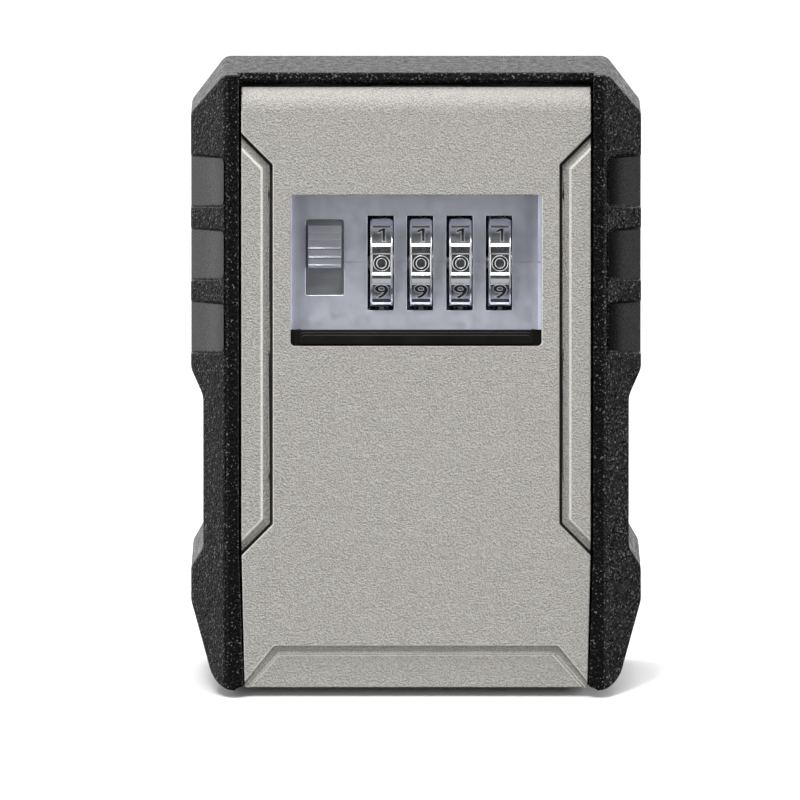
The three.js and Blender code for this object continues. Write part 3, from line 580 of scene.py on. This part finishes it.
CASE_OUTLINE = both_sides([
    (39.6, 0, 4.75), (HALF_WIDTH, 15.8, 5), (HALF_WIDTH, 22.4, 3), (42, 26.8, 3),
    (42, 56.4, 4), (HALF_WIDTH, 61.2, 3), (HALF_WIDTH, 111.2, 2), (37.8, HEIGHT, 2.5),
])
CAVITY_OUTLINE = both_sides([
    (35.4, WALL, 2), (CAVITY_HALF, 10, 2), (CAVITY_HALF, 110.4, 2), (35.4, HEIGHT - TOP_WALL, 1.5),
])
BOSS_X = 34.4
BOSS_Z = 49.5
BOSS_RADIUS = 4.4
MIDDLE = HEIGHT / 2
EDGE_ROUND = 0.35


def front_cut():
    """Everything in front of the rims and the sloping flanks, with a rounded crease between them."""
    side = [(RIM_HALF + FAR, -2 * FAR), (RIM_HALF + FAR * FLANK_SLOPE, FAR - RIM_PROUD), (RIM_HALF, -RIM_PROUD, 2.2)]
    return prism("z", both_sides(side), -FAR, HEIGHT + FAR)


def pad_cut(side, low):
    """A grip pad is sunk a little below its flank, with round inner corners, and turns outwards."""
    slant = Vector((side * PAD_SLOPE, 1)).normalized()
    out = Vector((side, -PAD_SLOPE)).normalized()
    start = Vector((side * PAD_START_X, 0.2)) - 0.35 * out
    rings = []
    for lift, spread in ((0, 0), (12, 1.6)):
        corners = rectangle(-spread, 30, low - spread, low + PAD_HEIGHT + spread, 1.5 + spread)
        flat = [start + slant * p.x + out * lift for p in outline(corners)]
        rings.append([(q.x, q.y, p.y) for q, p in zip(flat, outline(corners))])
    return loft(rings)


def flatten_front(shell, lean):
    """Brings the points that the rounding pushed out of sharp corners back onto the front of the rims."""
    for vertex in shell.data.vertices:
        place = lean.inverted() @ vertex.co
        if place.y < -RIM_PROUD:
            vertex.co = lean @ Vector((place.x, -RIM_PROUD, place.z))


def case_shell():
    lean = UPRIGHT.inverted() @ LEANING
    shell = prism("y", CASE_OUTLINE, -DEPTH - 10, 0)
    cut(shell, moved(front_cut(), lean))
    pads = [pad_cut(side, LOWEST_PAD + k * PAD_PITCH) for k in range(3) for side in (1, -1)]
    cut(shell, *placed(lean, pads))
    cavity = prism("y", CAVITY_OUTLINE, -DEPTH - FAR, 1)
    cut(cavity, moved(block(-WIDE, WIDE, -2 * FAR, RIM_BACK, -FAR, HEIGHT + FAR), lean))
    cut(cavity, *placed(lean, blocks_both_sides(OPENING_HALF, CAVITY_HALF + 2, RIM_BACK - 1, DOOR_DEPTH, -1, 8.4)))
    bosses = [(x, MIDDLE + z) for x in (-BOSS_X, BOSS_X) for z in (-BOSS_Z, BOSS_Z)]
    cut(cavity, *[rod("y", x, z, BOSS_RADIUS, -10, -2.1) for x, z in bosses])
    cut(cavity, block(-WIDE, WIDE, -3.6, -2.15, -1, 3.7))
    lip_under = HEIGHT - LIP_THICK
    mouth = [(FOOT_MOUTH_HALF - 0.3, -10), (OPENING_HALF, TAPER_TOP), (OPENING_HALF, HEIGHT + FAR)]
    opening = moved(prism("y", both_sides(mouth), -5, RIM_BACK + 1), lean)
    cut(opening, block(-WIDE, WIDE, -WIDE, FAR, lip_under, HEIGHT + 2 * FAR))
    cut(shell, cavity, opening)
    cut(shell, block(-OPENING_HALF, OPENING_HALF, -WIDE, LIP_FRONT_Y, lip_under - 1, HEIGHT + 10))
    cut(shell, block(-OPENING_HALF, OPENING_HALF, LIP_FRONT_Y - 3, -21, HEIGHT - 10, lip_under))
    cut(shell, block(-FOOT_MOUTH_HALF, FOOT_MOUTH_HALF, -WIDE, FLOOR_FRONT_Y, -1, WALL + 1))
    pin_spans = ((-RIM_HALF, -30), (30, RIM_HALF))
    cut(shell, *placed(lean, [rod("x", PIN_W, PIN_U, PIN_BORE, *span) for span in pin_spans]))
    cut(shell, *[rod("y", x, z, SCREW_HOLE, -9, 0.5, 24) for x, z in bosses])
    cut(shell, *[rod("z", x, -11, SCREW_HOLE, HEIGHT - 10, HEIGHT - 0.8, 24) for x in (-5, 5)])
    foot = [(FOOT_MOUTH_HALF - 1, -1), (36.4, -1), (35.6, 0.15), (FOOT_MOUTH_HALF - 1, 1.2)]
    cut(shell, *placed(lean, [prism("y", side, -2, 6) for side in (foot, mirrored(foot))]))
    soften(shell, EDGE_ROUND)
    flatten_front(shell, lean)
    case = finish_piece(shell, "case_housing", Matrix(), BLACK_COAT, "case", "black_coat", "case_shell")
    case.data.materials.append(PAD_COAT)
    case.data.materials.append(SHADED_RIM_COAT)
    # The front faces of the rims take the darker copy of the coat, which is painted shade.
    for face in case.data.polygons:
        is_pad = 0.87 < abs(face.normal.x) < 0.94 and -0.5 < face.normal.y < -0.3
        is_rim = face.normal.y < -0.95 and face.center.z < HEIGHT - 3
        face.material_index = 1 if is_pad else 2 if is_rim else 0
    moved(case, UPRIGHT)


# ---------- door ----------

POST_X = 30.2
POST_ROWS = (42, 66, 97.5)
POST_RADIUS = 2.2
BAR_TOP = 6.6
BAR_DEPTH = 6.8
SIDE_WALL = 1.8
RIB_X = 12
RIB_HALF = 0.7
RIB_DEPTH = 4
RIB_TOP = 37.4
FOOT_PANEL_HALF = 33.2
FOOT_PANEL_TOP_HALF = 27
FOOT_PANEL_TOP = 6.75


def strip_groove(side):
    """A steep inner wall, a narrow bottom, and a long slope up to the rounded edge of the strip."""
    edge = DOOR_HALF + 3
    rise = edge - STRIP_X
    path = [Vector(corner) for corner in ((side * edge, STRIP_LOW - rise), (side * STRIP_X, STRIP_LOW),
                                          (side * STRIP_X, STRIP_HIGH), (side * edge, STRIP_HIGH + rise))]
    profile = [(-0.85, -0.6), (-0.8, 0.0), (-0.75, 2.1), (-0.42, 2.1), (-0.38, 1.6), (0.3, 1.3), (0.8, 0.8),
               (1.1, 0.36), (1.3, 0.12), (1.6, 0.02), (1.9, -0.02), (2.0, -0.6)]
    return swept(path, [(-side * offset, w) for offset, w in profile])


def foot_panel():
    """A sunk trapezoid with a raised bead, a steep lip and sloping walls."""
    def ring(grow):
        half = FOOT_PANEL_HALF + grow
        top_half = FOOT_PANEL_TOP_HALF + 0.5 * grow
        top = FOOT_PANEL_TOP + grow
        return [(-half, DOOR_FOOT - 3), (half, DOOR_FOOT - 3), (half, DOOR_FOOT - 0.4), (top_half, top, 0.8),
                (-top_half, top, 0.8), (-half, DOOR_FOOT - 0.4)]
    return layers("y", (ring(2.6), -1), (ring(2.0), 0), (ring(1.9), 0.85), (ring(1.7), 0.8), (ring(0.6), 1.32),
                  (ring(0.45), 1.2), (ring(0.2), 1.2), (ring(0), 1.36))


def door_cover():
    blank = prism("x", [
        (0, DOOR_FOOT, 0.6), (BAR_DEPTH, DOOR_FOOT + BAR_DEPTH * math.tan(LEAN), 1), (BAR_DEPTH, BAR_TOP),
        (DOOR_DEPTH, BAR_TOP), (DOOR_DEPTH, DOOR_TOP, 0.5), (0, DOOR_TOP, DOOR_CURL),
    ], -DOOR_HALF, DOOR_HALF)
    taper = [(DOOR_HALF, TAPER_TOP), (DOOR_HALF + 2, TAPER_TOP), (DOOR_HALF + 2, -2), (DOOR_HALF - 0.7, -2)]
    cut(blank, *[prism("y", side, -1, FAR) for side in (taper, mirrored(taper))])
    hollow_half = DOOR_HALF - SIDE_WALL
    hollow = prism("x", [
        (SKIN, BAR_TOP + 0.8, 1), (FAR, BAR_TOP + 0.8), (FAR, DOOR_TOP - SKIN),
        (SKIN, DOOR_TOP - SKIN, DOOR_CURL - SKIN),
    ], -hollow_half, hollow_half)
    posts = [(x, u) for u in POST_ROWS for x in (-POST_X, POST_X)]
    cut(hollow, *[rod("y", x, u, POST_RADIUS, 0, 3.3, 36) for x, u in posts])
    cut(hollow, *[block(x - RIB_HALF, x + RIB_HALF, 0, RIB_DEPTH, BAR_TOP - 1, RIB_TOP) for x in (-RIB_X, RIB_X)])
    backing = [(27.4, STRIP_LOW - 1.5), (36, STRIP_LOW - 10.1), (36, STRIP_HIGH + 10.1), (27.4, STRIP_HIGH + 1.5)]
    cut(hollow, *[prism("y", side, 0, 2.9) for side in (backing, mirrored(backing))])
    cut(blank, hollow)
    window = rectangle(-WINDOW_HALF, WINDOW_HALF, WINDOW_LOW, WINDOW_HIGH, 0.8)
    cut(blank, prism("y", window, -2, SKIN + 0.2), foot_panel(), rod("x", PIN_W, PIN_U, PIN_BORE, -WIDE, WIDE))
    cut(blank, *[rod("y", x, u, SCREW_HOLE, 1.45, 5, 24) for x, u in posts])
    cut(blank, strip_groove(-1), strip_groove(1))
    soften(blank, 0.22)
    painted_light_indices = [door_finish(face, blank.data) for face in blank.data.polygons]
    door = finish_piece(blank, "door_face", Matrix(), GREY_COAT, "door", "grey_coat", "door_cover")
    # Index 1 is painted shade in the groove floors, index 2 a painted highlight on the edges.
    door.data.materials.append(PAINTED_GROOVE_SHADE)
    door.data.materials.append(PAINTED_EDGE_HIGHLIGHT)
    for face, painted_light_index in zip(door.data.polygons, painted_light_indices):
        face.material_index = painted_light_index
    moved(door, LEANING)


def door_finish(face, mesh):
    """Picks painted shade (1), a dark paint on the floors of the strip grooves, or a painted highlight (2), a lighter
    coat along the edges of the face, left out on edges that face right, away from the light.
    """
    depths = [mesh.vertices[k].co.y for k in face.vertices]
    shallowest, deepest = min(depths), max(depths)
    across, up = abs(face.center.x), face.center.z
    in_groove = across > 27.9 and up > 20 and shallowest > 1.4 and deepest < 2.3
    # Painted shade on the floors of the strip grooves.
    if in_groove and face.normal.y < 0.3 and abs(face.normal.z) < 0.8:
        return 1
    tilted = -0.975 < face.normal.y < -0.4
    on_edge = deepest < 0.42 and (across > 29.4 or up < 10 or face.normal.x < -0.2)
    on_foot_bead = up < 8.2 and shallowest > 1.15 and deepest < 1.37
    faces_right = face.center.x > 0 and face.normal.x > 0.2
    # Painted highlight on edges turned towards the light; edges that face right stay without it.
    if tilted and (on_edge or on_foot_bead) and up < 112 and not faces_right:
        return 2
    return 0


# ---------- shutter ----------

BLADE_HALF = 25.8
BLADE_LOW = 40.5
BLADE_HIGH = 71
LIP_HALF = 23.2


def shutter_blade():
    """A flat blade with a lip for the finger, in three shrinking steps, at the window's foot."""
    blade = prism("y", both_sides([(BLADE_HALF, BLADE_LOW), (BLADE_HALF, BLADE_HIGH, 1.2)]), 2, 3.2)
    low = WINDOW_LOW + 0.4
    lip_outline = both_sides([(LIP_HALF, low), (LIP_HALF, BLADE_HIGH, 0.7)])
    lip = layers("y", (lip_outline, 2.1), (lip_outline, 1.65))
    step = prism("y", both_sides([(LIP_HALF - 0.25, low), (LIP_HALF - 0.25, BLADE_HIGH - 0.55, 0.8)]), 1.05, 1.9)
    front = prism("y", both_sides([(LIP_HALF - 0.5, low), (LIP_HALF - 0.5, BLADE_HIGH - 1.1, 0.8)]), 0.4, 1.3)
    join(blade, lip, step, front)
    soften(blade, 0.14)
    finish_piece(blade, "shutter_blade", LEANING, BLACK_PLASTIC, "shutter", "black_plastic", "shutter")


# ---------- silver panel ----------


FLANGE_HALF = 27.8
FLANGE_LOW = 64
FLANGE_HIGH = 101
FLANGE_DEPTHS = (5.6, 6.6)
FLOOR_CURVE = 115
FLOOR_LOW = 67.1
FLOOR_HIGH = 98.2
FLOOR_HALF = 24.75
FLOOR_STEPS = 7
DIAL_SLOT = (-2.75, 2.4)
BUTTON_SLOT_HALF = 3.75
SEAM_U = 84.2


def floor_w(u):
    """The depth of the panel's floor, which is hollow like a very shallow dish."""
    return PANEL_DEPTH + 0.15 - (u - DIAL_U) ** 2 / (2 * FLOOR_CURVE)


def true_floor_normals(obj):
    """Gives the curved floor the normals of a true curve, so that it reflects evenly."""
    mesh = obj.data
    normals = [Vector(corner.vector) for corner in mesh.corner_normals]
    for corner, loop in enumerate(mesh.loops):
        point = mesh.vertices[loop.vertex_index].co
        on_floor = abs(point.x) < FLOOR_HALF - 0.55 and abs(point.y - floor_w(point.z)) < 0.03
        if on_floor and normals[corner].y < -0.97:
            normals[corner] = Vector((0, -1, (DIAL_U - point.z) / FLOOR_CURVE)).normalized()
    mesh.normals_split_custom_set(normals)


def silver_panel():
    tray = block(-PANEL_HALF, PANEL_HALF, PANEL_FRONT, PANEL_BACK, PANEL_LOW, PANEL_HIGH)
    join(tray, block(-FLANGE_HALF, FLANGE_HALF, *FLANGE_DEPTHS, FLANGE_LOW, FLANGE_HIGH))
    heights = [FLOOR_LOW + (FLOOR_HIGH - FLOOR_LOW) * k / FLOOR_STEPS for k in range(FLOOR_STEPS + 1)]
    bowl = [(0, FLOOR_LOW)] + [(floor_w(u), u) for u in heights] + [(0, FLOOR_HIGH)]
    scoop = prism("x", bowl, -FLOOR_HALF, FLOOR_HALF)
    below = PANEL_DEPTH + 0.4
    right_wall = [(FLOOR_HALF + 1, 0), (FLOOR_HALF + 1, below), (FLOOR_HALF - 0.55, below), (FLOOR_HALF, 4)]
    cut(scoop, prism("z", right_wall, 60, 105))
    cut(tray, scoop)
    left, right = DIAL_SLOT
    for x in DIAL_X:
        cut(tray, rod("x", DIAL_W, DIAL_U, DIAL_RADIUS + 0.3, x + left, x + right, 96))
    slot = rectangle(BUTTON_X - BUTTON_SLOT_HALF, BUTTON_X + BUTTON_SLOT_HALF,
                     BUTTON_LOW - LATCH_TRAVEL - 0.3, BUTTON_HIGH + 1, 0.4)
    cut(tray, prism("y", slot, 0, FAR))
    soften(tray, 0.16, splits=[("x", x) for x in (*DIAL_X, BUTTON_X)])
    depth = PANEL_DEPTH + 0.5
    seam = [(0, SEAM_U + 0.2), (depth, SEAM_U + 0.12), (depth, SEAM_U - 0.12), (0, SEAM_U - 0.2)]
    cut(tray, prism("x", seam, BUTTON_X + 3.6, FLOOR_HALF - 0.2))
    panel = finish_piece(tray, "silver_panel", Matrix(), SATIN_CHROME, "door", "satin_chrome", "bezel_panel")
    true_floor_normals(panel)
    moved(panel, LEANING)


# ---------- dials ----------

FACET_DEPTH = 9.55
HUB_RADIUS = 3.5
SPINDLE_BORE = 2.2
DIGIT_WIDTH = 3.3
DIGIT_HEIGHT = 3.1
DIAL_SHARP = math.radians(16)

# One step of the dial, as height and distance from the axle: facet, land, upper slope, steep wall.
DIAL_STEP = ((-1.77, FACET_DEPTH), (1.77, FACET_DEPTH), (2.0, 9.74), (2.2, 9.76), (3.3, 9.65), (3.42, 9.60),
             (3.95, 9.385))


def dial_outline():
    points = []
    for digit in range(DIGITS):
        middle = digit * 2 * math.pi / DIGITS
        points += [on_dial(middle + math.atan2(height, out), math.hypot(height, out)) for height, out in DIAL_STEP]
    return points


def on_dial(angle, radius):
    return (DIAL_W - radius * math.cos(angle), DIAL_U + radius * math.sin(angle))


# The outline of a one, in the same units as the nought's ellipses.
ONE = [(0.11, -0.38), (0.11, 0.38), (0.03, 0.38), (-0.15, 0.25), (-0.15, 0.15), (0.03, 0.26), (0.03, -0.38)]


def ellipse(across, up, points=48):
    turns = [2 * math.pi * k / points for k in range(points)]
    return [(across * math.cos(turn), up * math.sin(turn)) for turn in turns]


def glyph_curve(digit):
    """The digit as a flat curve. Nought and one are drawn here, as a wide ring and a flagged stem."""
    if digit > 1:
        text = bpy.data.curves.new("digit", "FONT")
        text.body = str(digit)
        return text
    curve = bpy.data.curves.new("digit", "CURVE")
    curve.dimensions = "2D"
    curve.fill_mode = "BOTH"
    for corners in ([ONE] if digit else [ellipse(0.29, 0.355), ellipse(0.215, 0.27)]):
        spline = curve.splines.new("POLY")
        spline.points.add(len(corners) - 1)
        for point, (x, y) in zip(spline.points, corners):
            point.co = (0.85 * x, 0.85 * y, 0, 1)
        spline.use_cyclic_u = True
    return curve


def digit_meshes(outlined):
    """The ten digits as flat slabs, or as thin round beads along their outlines, centred on the origin."""
    meshes = []
    scale = None
    for digit in range(DIGITS):
        curve = glyph_curve(digit)
        curve.resolution_u = 5
        curve.offset = 0.02
        if outlined:
            curve.fill_mode = "NONE"
            curve.bevel_depth = 0.014
            curve.bevel_resolution = 2
        else:
            curve.extrude = 0.5
        holder = bpy.data.objects.new("digit", curve)
        bpy.context.scene.collection.objects.link(holder)
        depsgraph = bpy.context.evaluated_depsgraph_get()
        mesh = bpy.data.meshes.new_from_object(holder.evaluated_get(depsgraph), depsgraph=depsgraph)
        bpy.data.objects.remove(holder)
        xs = [v.co.x for v in mesh.vertices]
        ys = [v.co.y for v in mesh.vertices]
        scale = scale or (DIGIT_WIDTH / (max(xs) - min(xs)), DIGIT_HEIGHT / (max(ys) - min(ys)))
        centre = Vector(((max(xs) + min(xs)) / 2, (max(ys) + min(ys)) / 2, 0))
        mesh.transform(Matrix.Diagonal((scale[0], scale[1], 1, 1)) @ Matrix.Translation(-centre))
        meshes.append(mesh)
    return meshes


def digits_solid(meshes, bottom, top):
    """All ten digits round one dial at x 0, from bottom to top, measured out from the facets."""
    bm = bmesh.new()
    for digit, mesh in enumerate(meshes):
        angle = 2 * math.pi * digit / DIGITS
        out = Vector((0, -math.cos(angle), math.sin(angle)))
        up = Vector((0, math.sin(angle), math.cos(angle)))
        centre = Vector((0, DIAL_W, DIAL_U)) + out * (FACET_DEPTH + (bottom + top) / 2)
        turn = Matrix((
            (1, 0, 0, centre.x),
            (0, up.y, out.y * (top - bottom), centre.y),
            (0, up.z, out.z * (top - bottom), centre.z),
            (0, 0, 0, 1),
        ))
        copy = mesh.copy()
        copy.transform(turn)
        bm.from_mesh(copy)
        bpy.data.meshes.remove(copy)
    bmesh.ops.remove_doubles(bm, verts=bm.verts, dist=1e-4)
    return mesh_object("digits", bm)


def dial_wheel():
    """The faceted wheel between two round rims, with a hub, a bore and a notch for the code to be set."""
    rim = 0.24
    wheel = prism("x", dial_outline(), -DIAL_HALF + rim, DIAL_HALF - rim)
    discs = [rod("x", DIAL_W, DIAL_U, DIAL_RADIUS - 0.28, x0, x0 + rim + 0.05, 96)
             for x0 in (-DIAL_HALF, DIAL_HALF - rim - 0.05)]
    join(wheel, *discs, rod("x", DIAL_W, DIAL_U, HUB_RADIUS, 0, DIAL_HALF + 1.6))
    cut(wheel, rod("x", DIAL_W, DIAL_U, SPINDLE_BORE, -FAR, FAR, 32))
    cut(wheel, block(DIAL_HALF, DIAL_HALF + 3, DIAL_W - 1, DIAL_W + 1, DIAL_U + 2.6, DIAL_U + 5))
    return wheel


def add_dials():
    slabs = digit_meshes(False)
    wheel = cut(soften(dial_wheel(), 0.07, 2), digits_solid(slabs, -0.3, 0.2))
    parts = (
        (wheel, "dial_wheel", BRIGHT_CHROME),
        (digits_solid(slabs, -0.34, -0.08), "dial_ink", BLACK_PAINT),
        (digits_solid(digit_meshes(True), -2.1, 2.1), "dial_line", POLISHED_EDGE),
    )
    for part, name, material in parts:
        for number, x in enumerate(DIAL_X, 1):
            copy = bpy.data.objects.new(name, part.data.copy())
            bpy.context.scene.collection.objects.link(copy)
            moved(copy, Matrix.Translation((x, 0, 0)))
            replaced = (f"code_dial_{number}",) if part is wheel else ()
            finish_piece(copy, f"{name}_{number}", LEANING, material, f"dial_{number}", "bright_chrome", *replaced,
                         sharp=DIAL_SHARP)
    for part, _, _ in parts:
        bpy.data.objects.remove(part)


# ---------- open button ----------


def button_profile():
    """From the top: a flat front crossed by two fine ribs, then by three tall ones."""
    front = BUTTON_FRONT + 0.3
    points = [(10.9, BUTTON_HIGH), (front + 0.1, BUTTON_HIGH), (front, BUTTON_HIGH - 0.1)]
    for crest, rise, height in ((90.1, 0.1, 0.06), (88.6, 0.1, 0.05), (86.9, 0.2, 0.3), (85.15, 0.22, 0.3),
                                (83.6, 0.15, 0.2)):
        points += [(front, crest + rise), (front - height, crest), (front - height, crest - 0.08),
                   (front, crest - 0.08 - 0.6 * height)]
    return points + [(front, BUTTON_LOW + 0.2), (front + 0.2, BUTTON_LOW), (10.9, BUTTON_LOW)]


def ribbed_button():
    button = prism("x", button_profile(), BUTTON_X - BUTTON_HALF, BUTTON_X + BUTTON_HALF)
    soften(button, 0.06, 2)
    finish_piece(button, "ribbed_button", LEANING, BUTTON_CHROME, "latch", "bright_chrome", "open_button")


# ---------- latch spring ----------

WIRE = 0.35
COIL_RADIUS = 1.85
COIL_TURNS = 6
COIL_W = 15
COIL_FOOT = 62.3
COIL_TOP = 73.3
COIL_STEPS = 24 * COIL_TURNS


def latch_coil():
    """The spring under the latch slide, which shortens as the button is pushed down."""
    low = COIL_FOOT + WIRE
    rise = COIL_TOP - WIRE - low
    rings = []
    for step in range(COIL_STEPS + 1):
        share = step / COIL_STEPS
        turn = 2 * math.pi * COIL_TURNS * share
        rings.append([(BUTTON_X + reach * math.cos(turn), COIL_W + reach * math.sin(turn), low + rise * share + lift)
                      for reach, lift in circle(COIL_RADIUS, 0, WIRE, 10)])
    coil = finish_piece(loft(rings), "latch_coil", LEANING, BRUSHED_STEEL, "door", "steel", "latch_spring")
    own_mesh(coil)


# ---------- the CAD nodes that stay ----------

NODE_ROUND = 0.12
NODE_WELD = 2e-3


def dress_nodes(replaced):
    """Gives every node that stays its material and small rounds on its edges."""
    slots = {row["node"]: row["material_slot"] for row in frame["record"]["subparts"]}
    blackened = {"hinge_pin": DARK_ZINC}
    for name, obj in frame["nodes"].items():
        if name in replaced:
            continue
        obj.data.materials.clear()
        obj.data.materials.append(blackened.get(name, SLOT_MATERIALS[slots[name]]))
        weld = obj.modifiers.new("weld", "WELD")
        weld.merge_threshold = NODE_WELD * MM
        bevel = obj.modifiers.new("round", "BEVEL")
        bevel.width = NODE_ROUND * MM
        bevel.segments = 2
        bevel.limit_method = "ANGLE"
        bevel.angle_limit = SHARP_ANGLE
        bevel.harden_normals = True


# ---------- stage ----------

VIEW_WIDTH_MM = 158.2
CAMERA_DISTANCE = 3.0
CAMERA_ELEVATION = math.radians(9.5)
AIM = Vector((-3.16, -22, -5.66)) * MM


def add_camera():
    data = bpy.data.cameras.new("camera")
    camera = bpy.data.objects.new("camera", data)
    bpy.context.scene.collection.objects.link(camera)
    back = Vector((0, -math.cos(CAMERA_ELEVATION), math.sin(CAMERA_ELEVATION)))
    camera.location = AIM + CAMERA_DISTANCE * back
    camera.rotation_mode = "QUATERNION"
    camera.rotation_quaternion = (-back).to_track_quat("-Z", "Y")
    data.sensor_width = 36
    data.lens = data.sensor_width * CAMERA_DISTANCE / (VIEW_WIDTH_MM * MM)
    data.clip_start = 0.01
    data.clip_end = 100
    bpy.context.scene.camera = camera


def add_area(name, position, size, power):
    """A square lamp that faces the origin."""
    data = bpy.data.lights.new(name, "AREA")
    data.shape = "SQUARE"
    data.size = size
    data.energy = power
    light = bpy.data.objects.new(name, data)
    bpy.context.scene.collection.objects.link(light)
    light.location = position
    light.rotation_mode = "QUATERNION"
    light.rotation_quaternion = (-Vector(position)).to_track_quat("-Z", "Y")


FLOOR_DROP = 1.6
SKY = 0.45
DARKEST = 0.02
SEEN_SKY = 0.95
# Each lobe of the studio light: its direction, its inner and outer angles in degrees, and its gain.
LOBES = (
    ((0, -0.995, 0.05), 8, 28, -0.42),
    ((0, -0.95, -0.3), 8, 24, -0.3),
    ((0, -0.89, 0.454), 6, 16, -0.3),
    ((0, -0.5, 0.87), 6, 20, 0.9),
    ((0.62, -0.78, 0.1), 5, 33, 1.3),
    ((-0.62, -0.78, 0.1), 5, 33, 1.3),
    ((0, -0.5, -0.86), 15, 45, 0.4),
    ((0, 0.05, 1), 10, 60, 0.7),
    ((0, 0.99, 0.05), 12, 40, 0.8),
    ((-0.78, 0.62, -0.1), 6, 24, 0.8),
    ((0.76, 0.64, -0.12), 22, 46, -0.45),
    ((0, 0, -1), 20, 84, -0.3),
)


def add_world():
    """Soft light from all round, dark behind the camera and low down, and pale where it is seen directly."""
    world = bpy.data.worlds.new("studio")
    bpy.context.scene.world = world
    world.use_nodes = True
    tree = world.node_tree
    direction = tree.nodes.new("ShaderNodeTexCoord").outputs["Generated"]
    total = None
    for towards, inner, outer, gain in LOBES:
        dot = tree.nodes.new("ShaderNodeVectorMath")
        dot.operation = "DOT_PRODUCT"
        dot.inputs[1].default_value = Vector(towards).normalized()
        tree.links.new(direction, dot.inputs[0])
        spread = tree.nodes.new("ShaderNodeMapRange")
        spread.interpolation_type = "SMOOTHSTEP"
        spread.inputs["From Min"].default_value = math.cos(math.radians(outer))
        spread.inputs["From Max"].default_value = math.cos(math.radians(inner))
        spread.inputs["To Max"].default_value = gain
        tree.links.new(dot.outputs["Value"], spread.inputs["Value"])
        add = tree.nodes.new("ShaderNodeMath")
        add.inputs[1].default_value = SKY
        tree.links.new(spread.outputs["Result"], add.inputs[0])
        if total:
            tree.links.new(total, add.inputs[1])
        total = add.outputs["Value"]
    floored = tree.nodes.new("ShaderNodeMath")
    floored.operation = "MAXIMUM"
    floored.inputs[1].default_value = DARKEST
    tree.links.new(total, floored.inputs[0])
    seen = tree.nodes.new("ShaderNodeMix")
    seen.inputs["B"].default_value = SEEN_SKY
    tree.links.new(tree.nodes.new("ShaderNodeLightPath").outputs["Is Camera Ray"], seen.inputs["Factor"])
    tree.links.new(floored.outputs["Value"], seen.inputs["A"])
    tree.links.new(seen.outputs["Result"], tree.nodes["Background"].inputs["Strength"])
    tree.nodes["Background"].inputs["Color"].default_value = (1, 1, 1, 1)


def add_floor():
    bm = bmesh.new()
    bmesh.ops.create_grid(bm, x_segments=8, y_segments=8, size=6)
    floor = mesh_object("floor", bm)
    floor.location.z = CAD_BOX[0].z - FLOOR_DROP * MM
    floor.visible_glossy = False
    floor.visible_diffuse = False
    nodes = Nodes("floor_paint")
    colour = nodes.mix(nodes.noise(40, detail=2), (0.86, 0.86, 0.86), (0.90, 0.90, 0.90))
    floor.data.materials.append(nodes.set(Base_Color=colour, Roughness=0.9))


bpy.context.scene.view_settings.view_transform = "Standard"
add_camera()
add_world()
add_floor()
add_area("key", (-0.3, -0.8, 1.35), 0.35, 12)
add_area("top", (0, 0.1, 1.0), 0.9, 7)
add_area("rim_left", (-0.55, 0.42, 0.32), 0.15, 0.8)
add_area("rim_right", (0.8, -0.06, 0.18), 0.15, 3.5)
case_shell()
door_cover()
shutter_blade()
silver_panel()
add_dials()
ribbed_button()
latch_coil()
dress_nodes({"case_shell", "door_cover", "shutter", "bezel_panel", "open_button", "latch_spring",
             *(f"code_dial_{number}" for number in range(1, len(DIAL_X) + 1))})

bpy.context.view_layer.update()
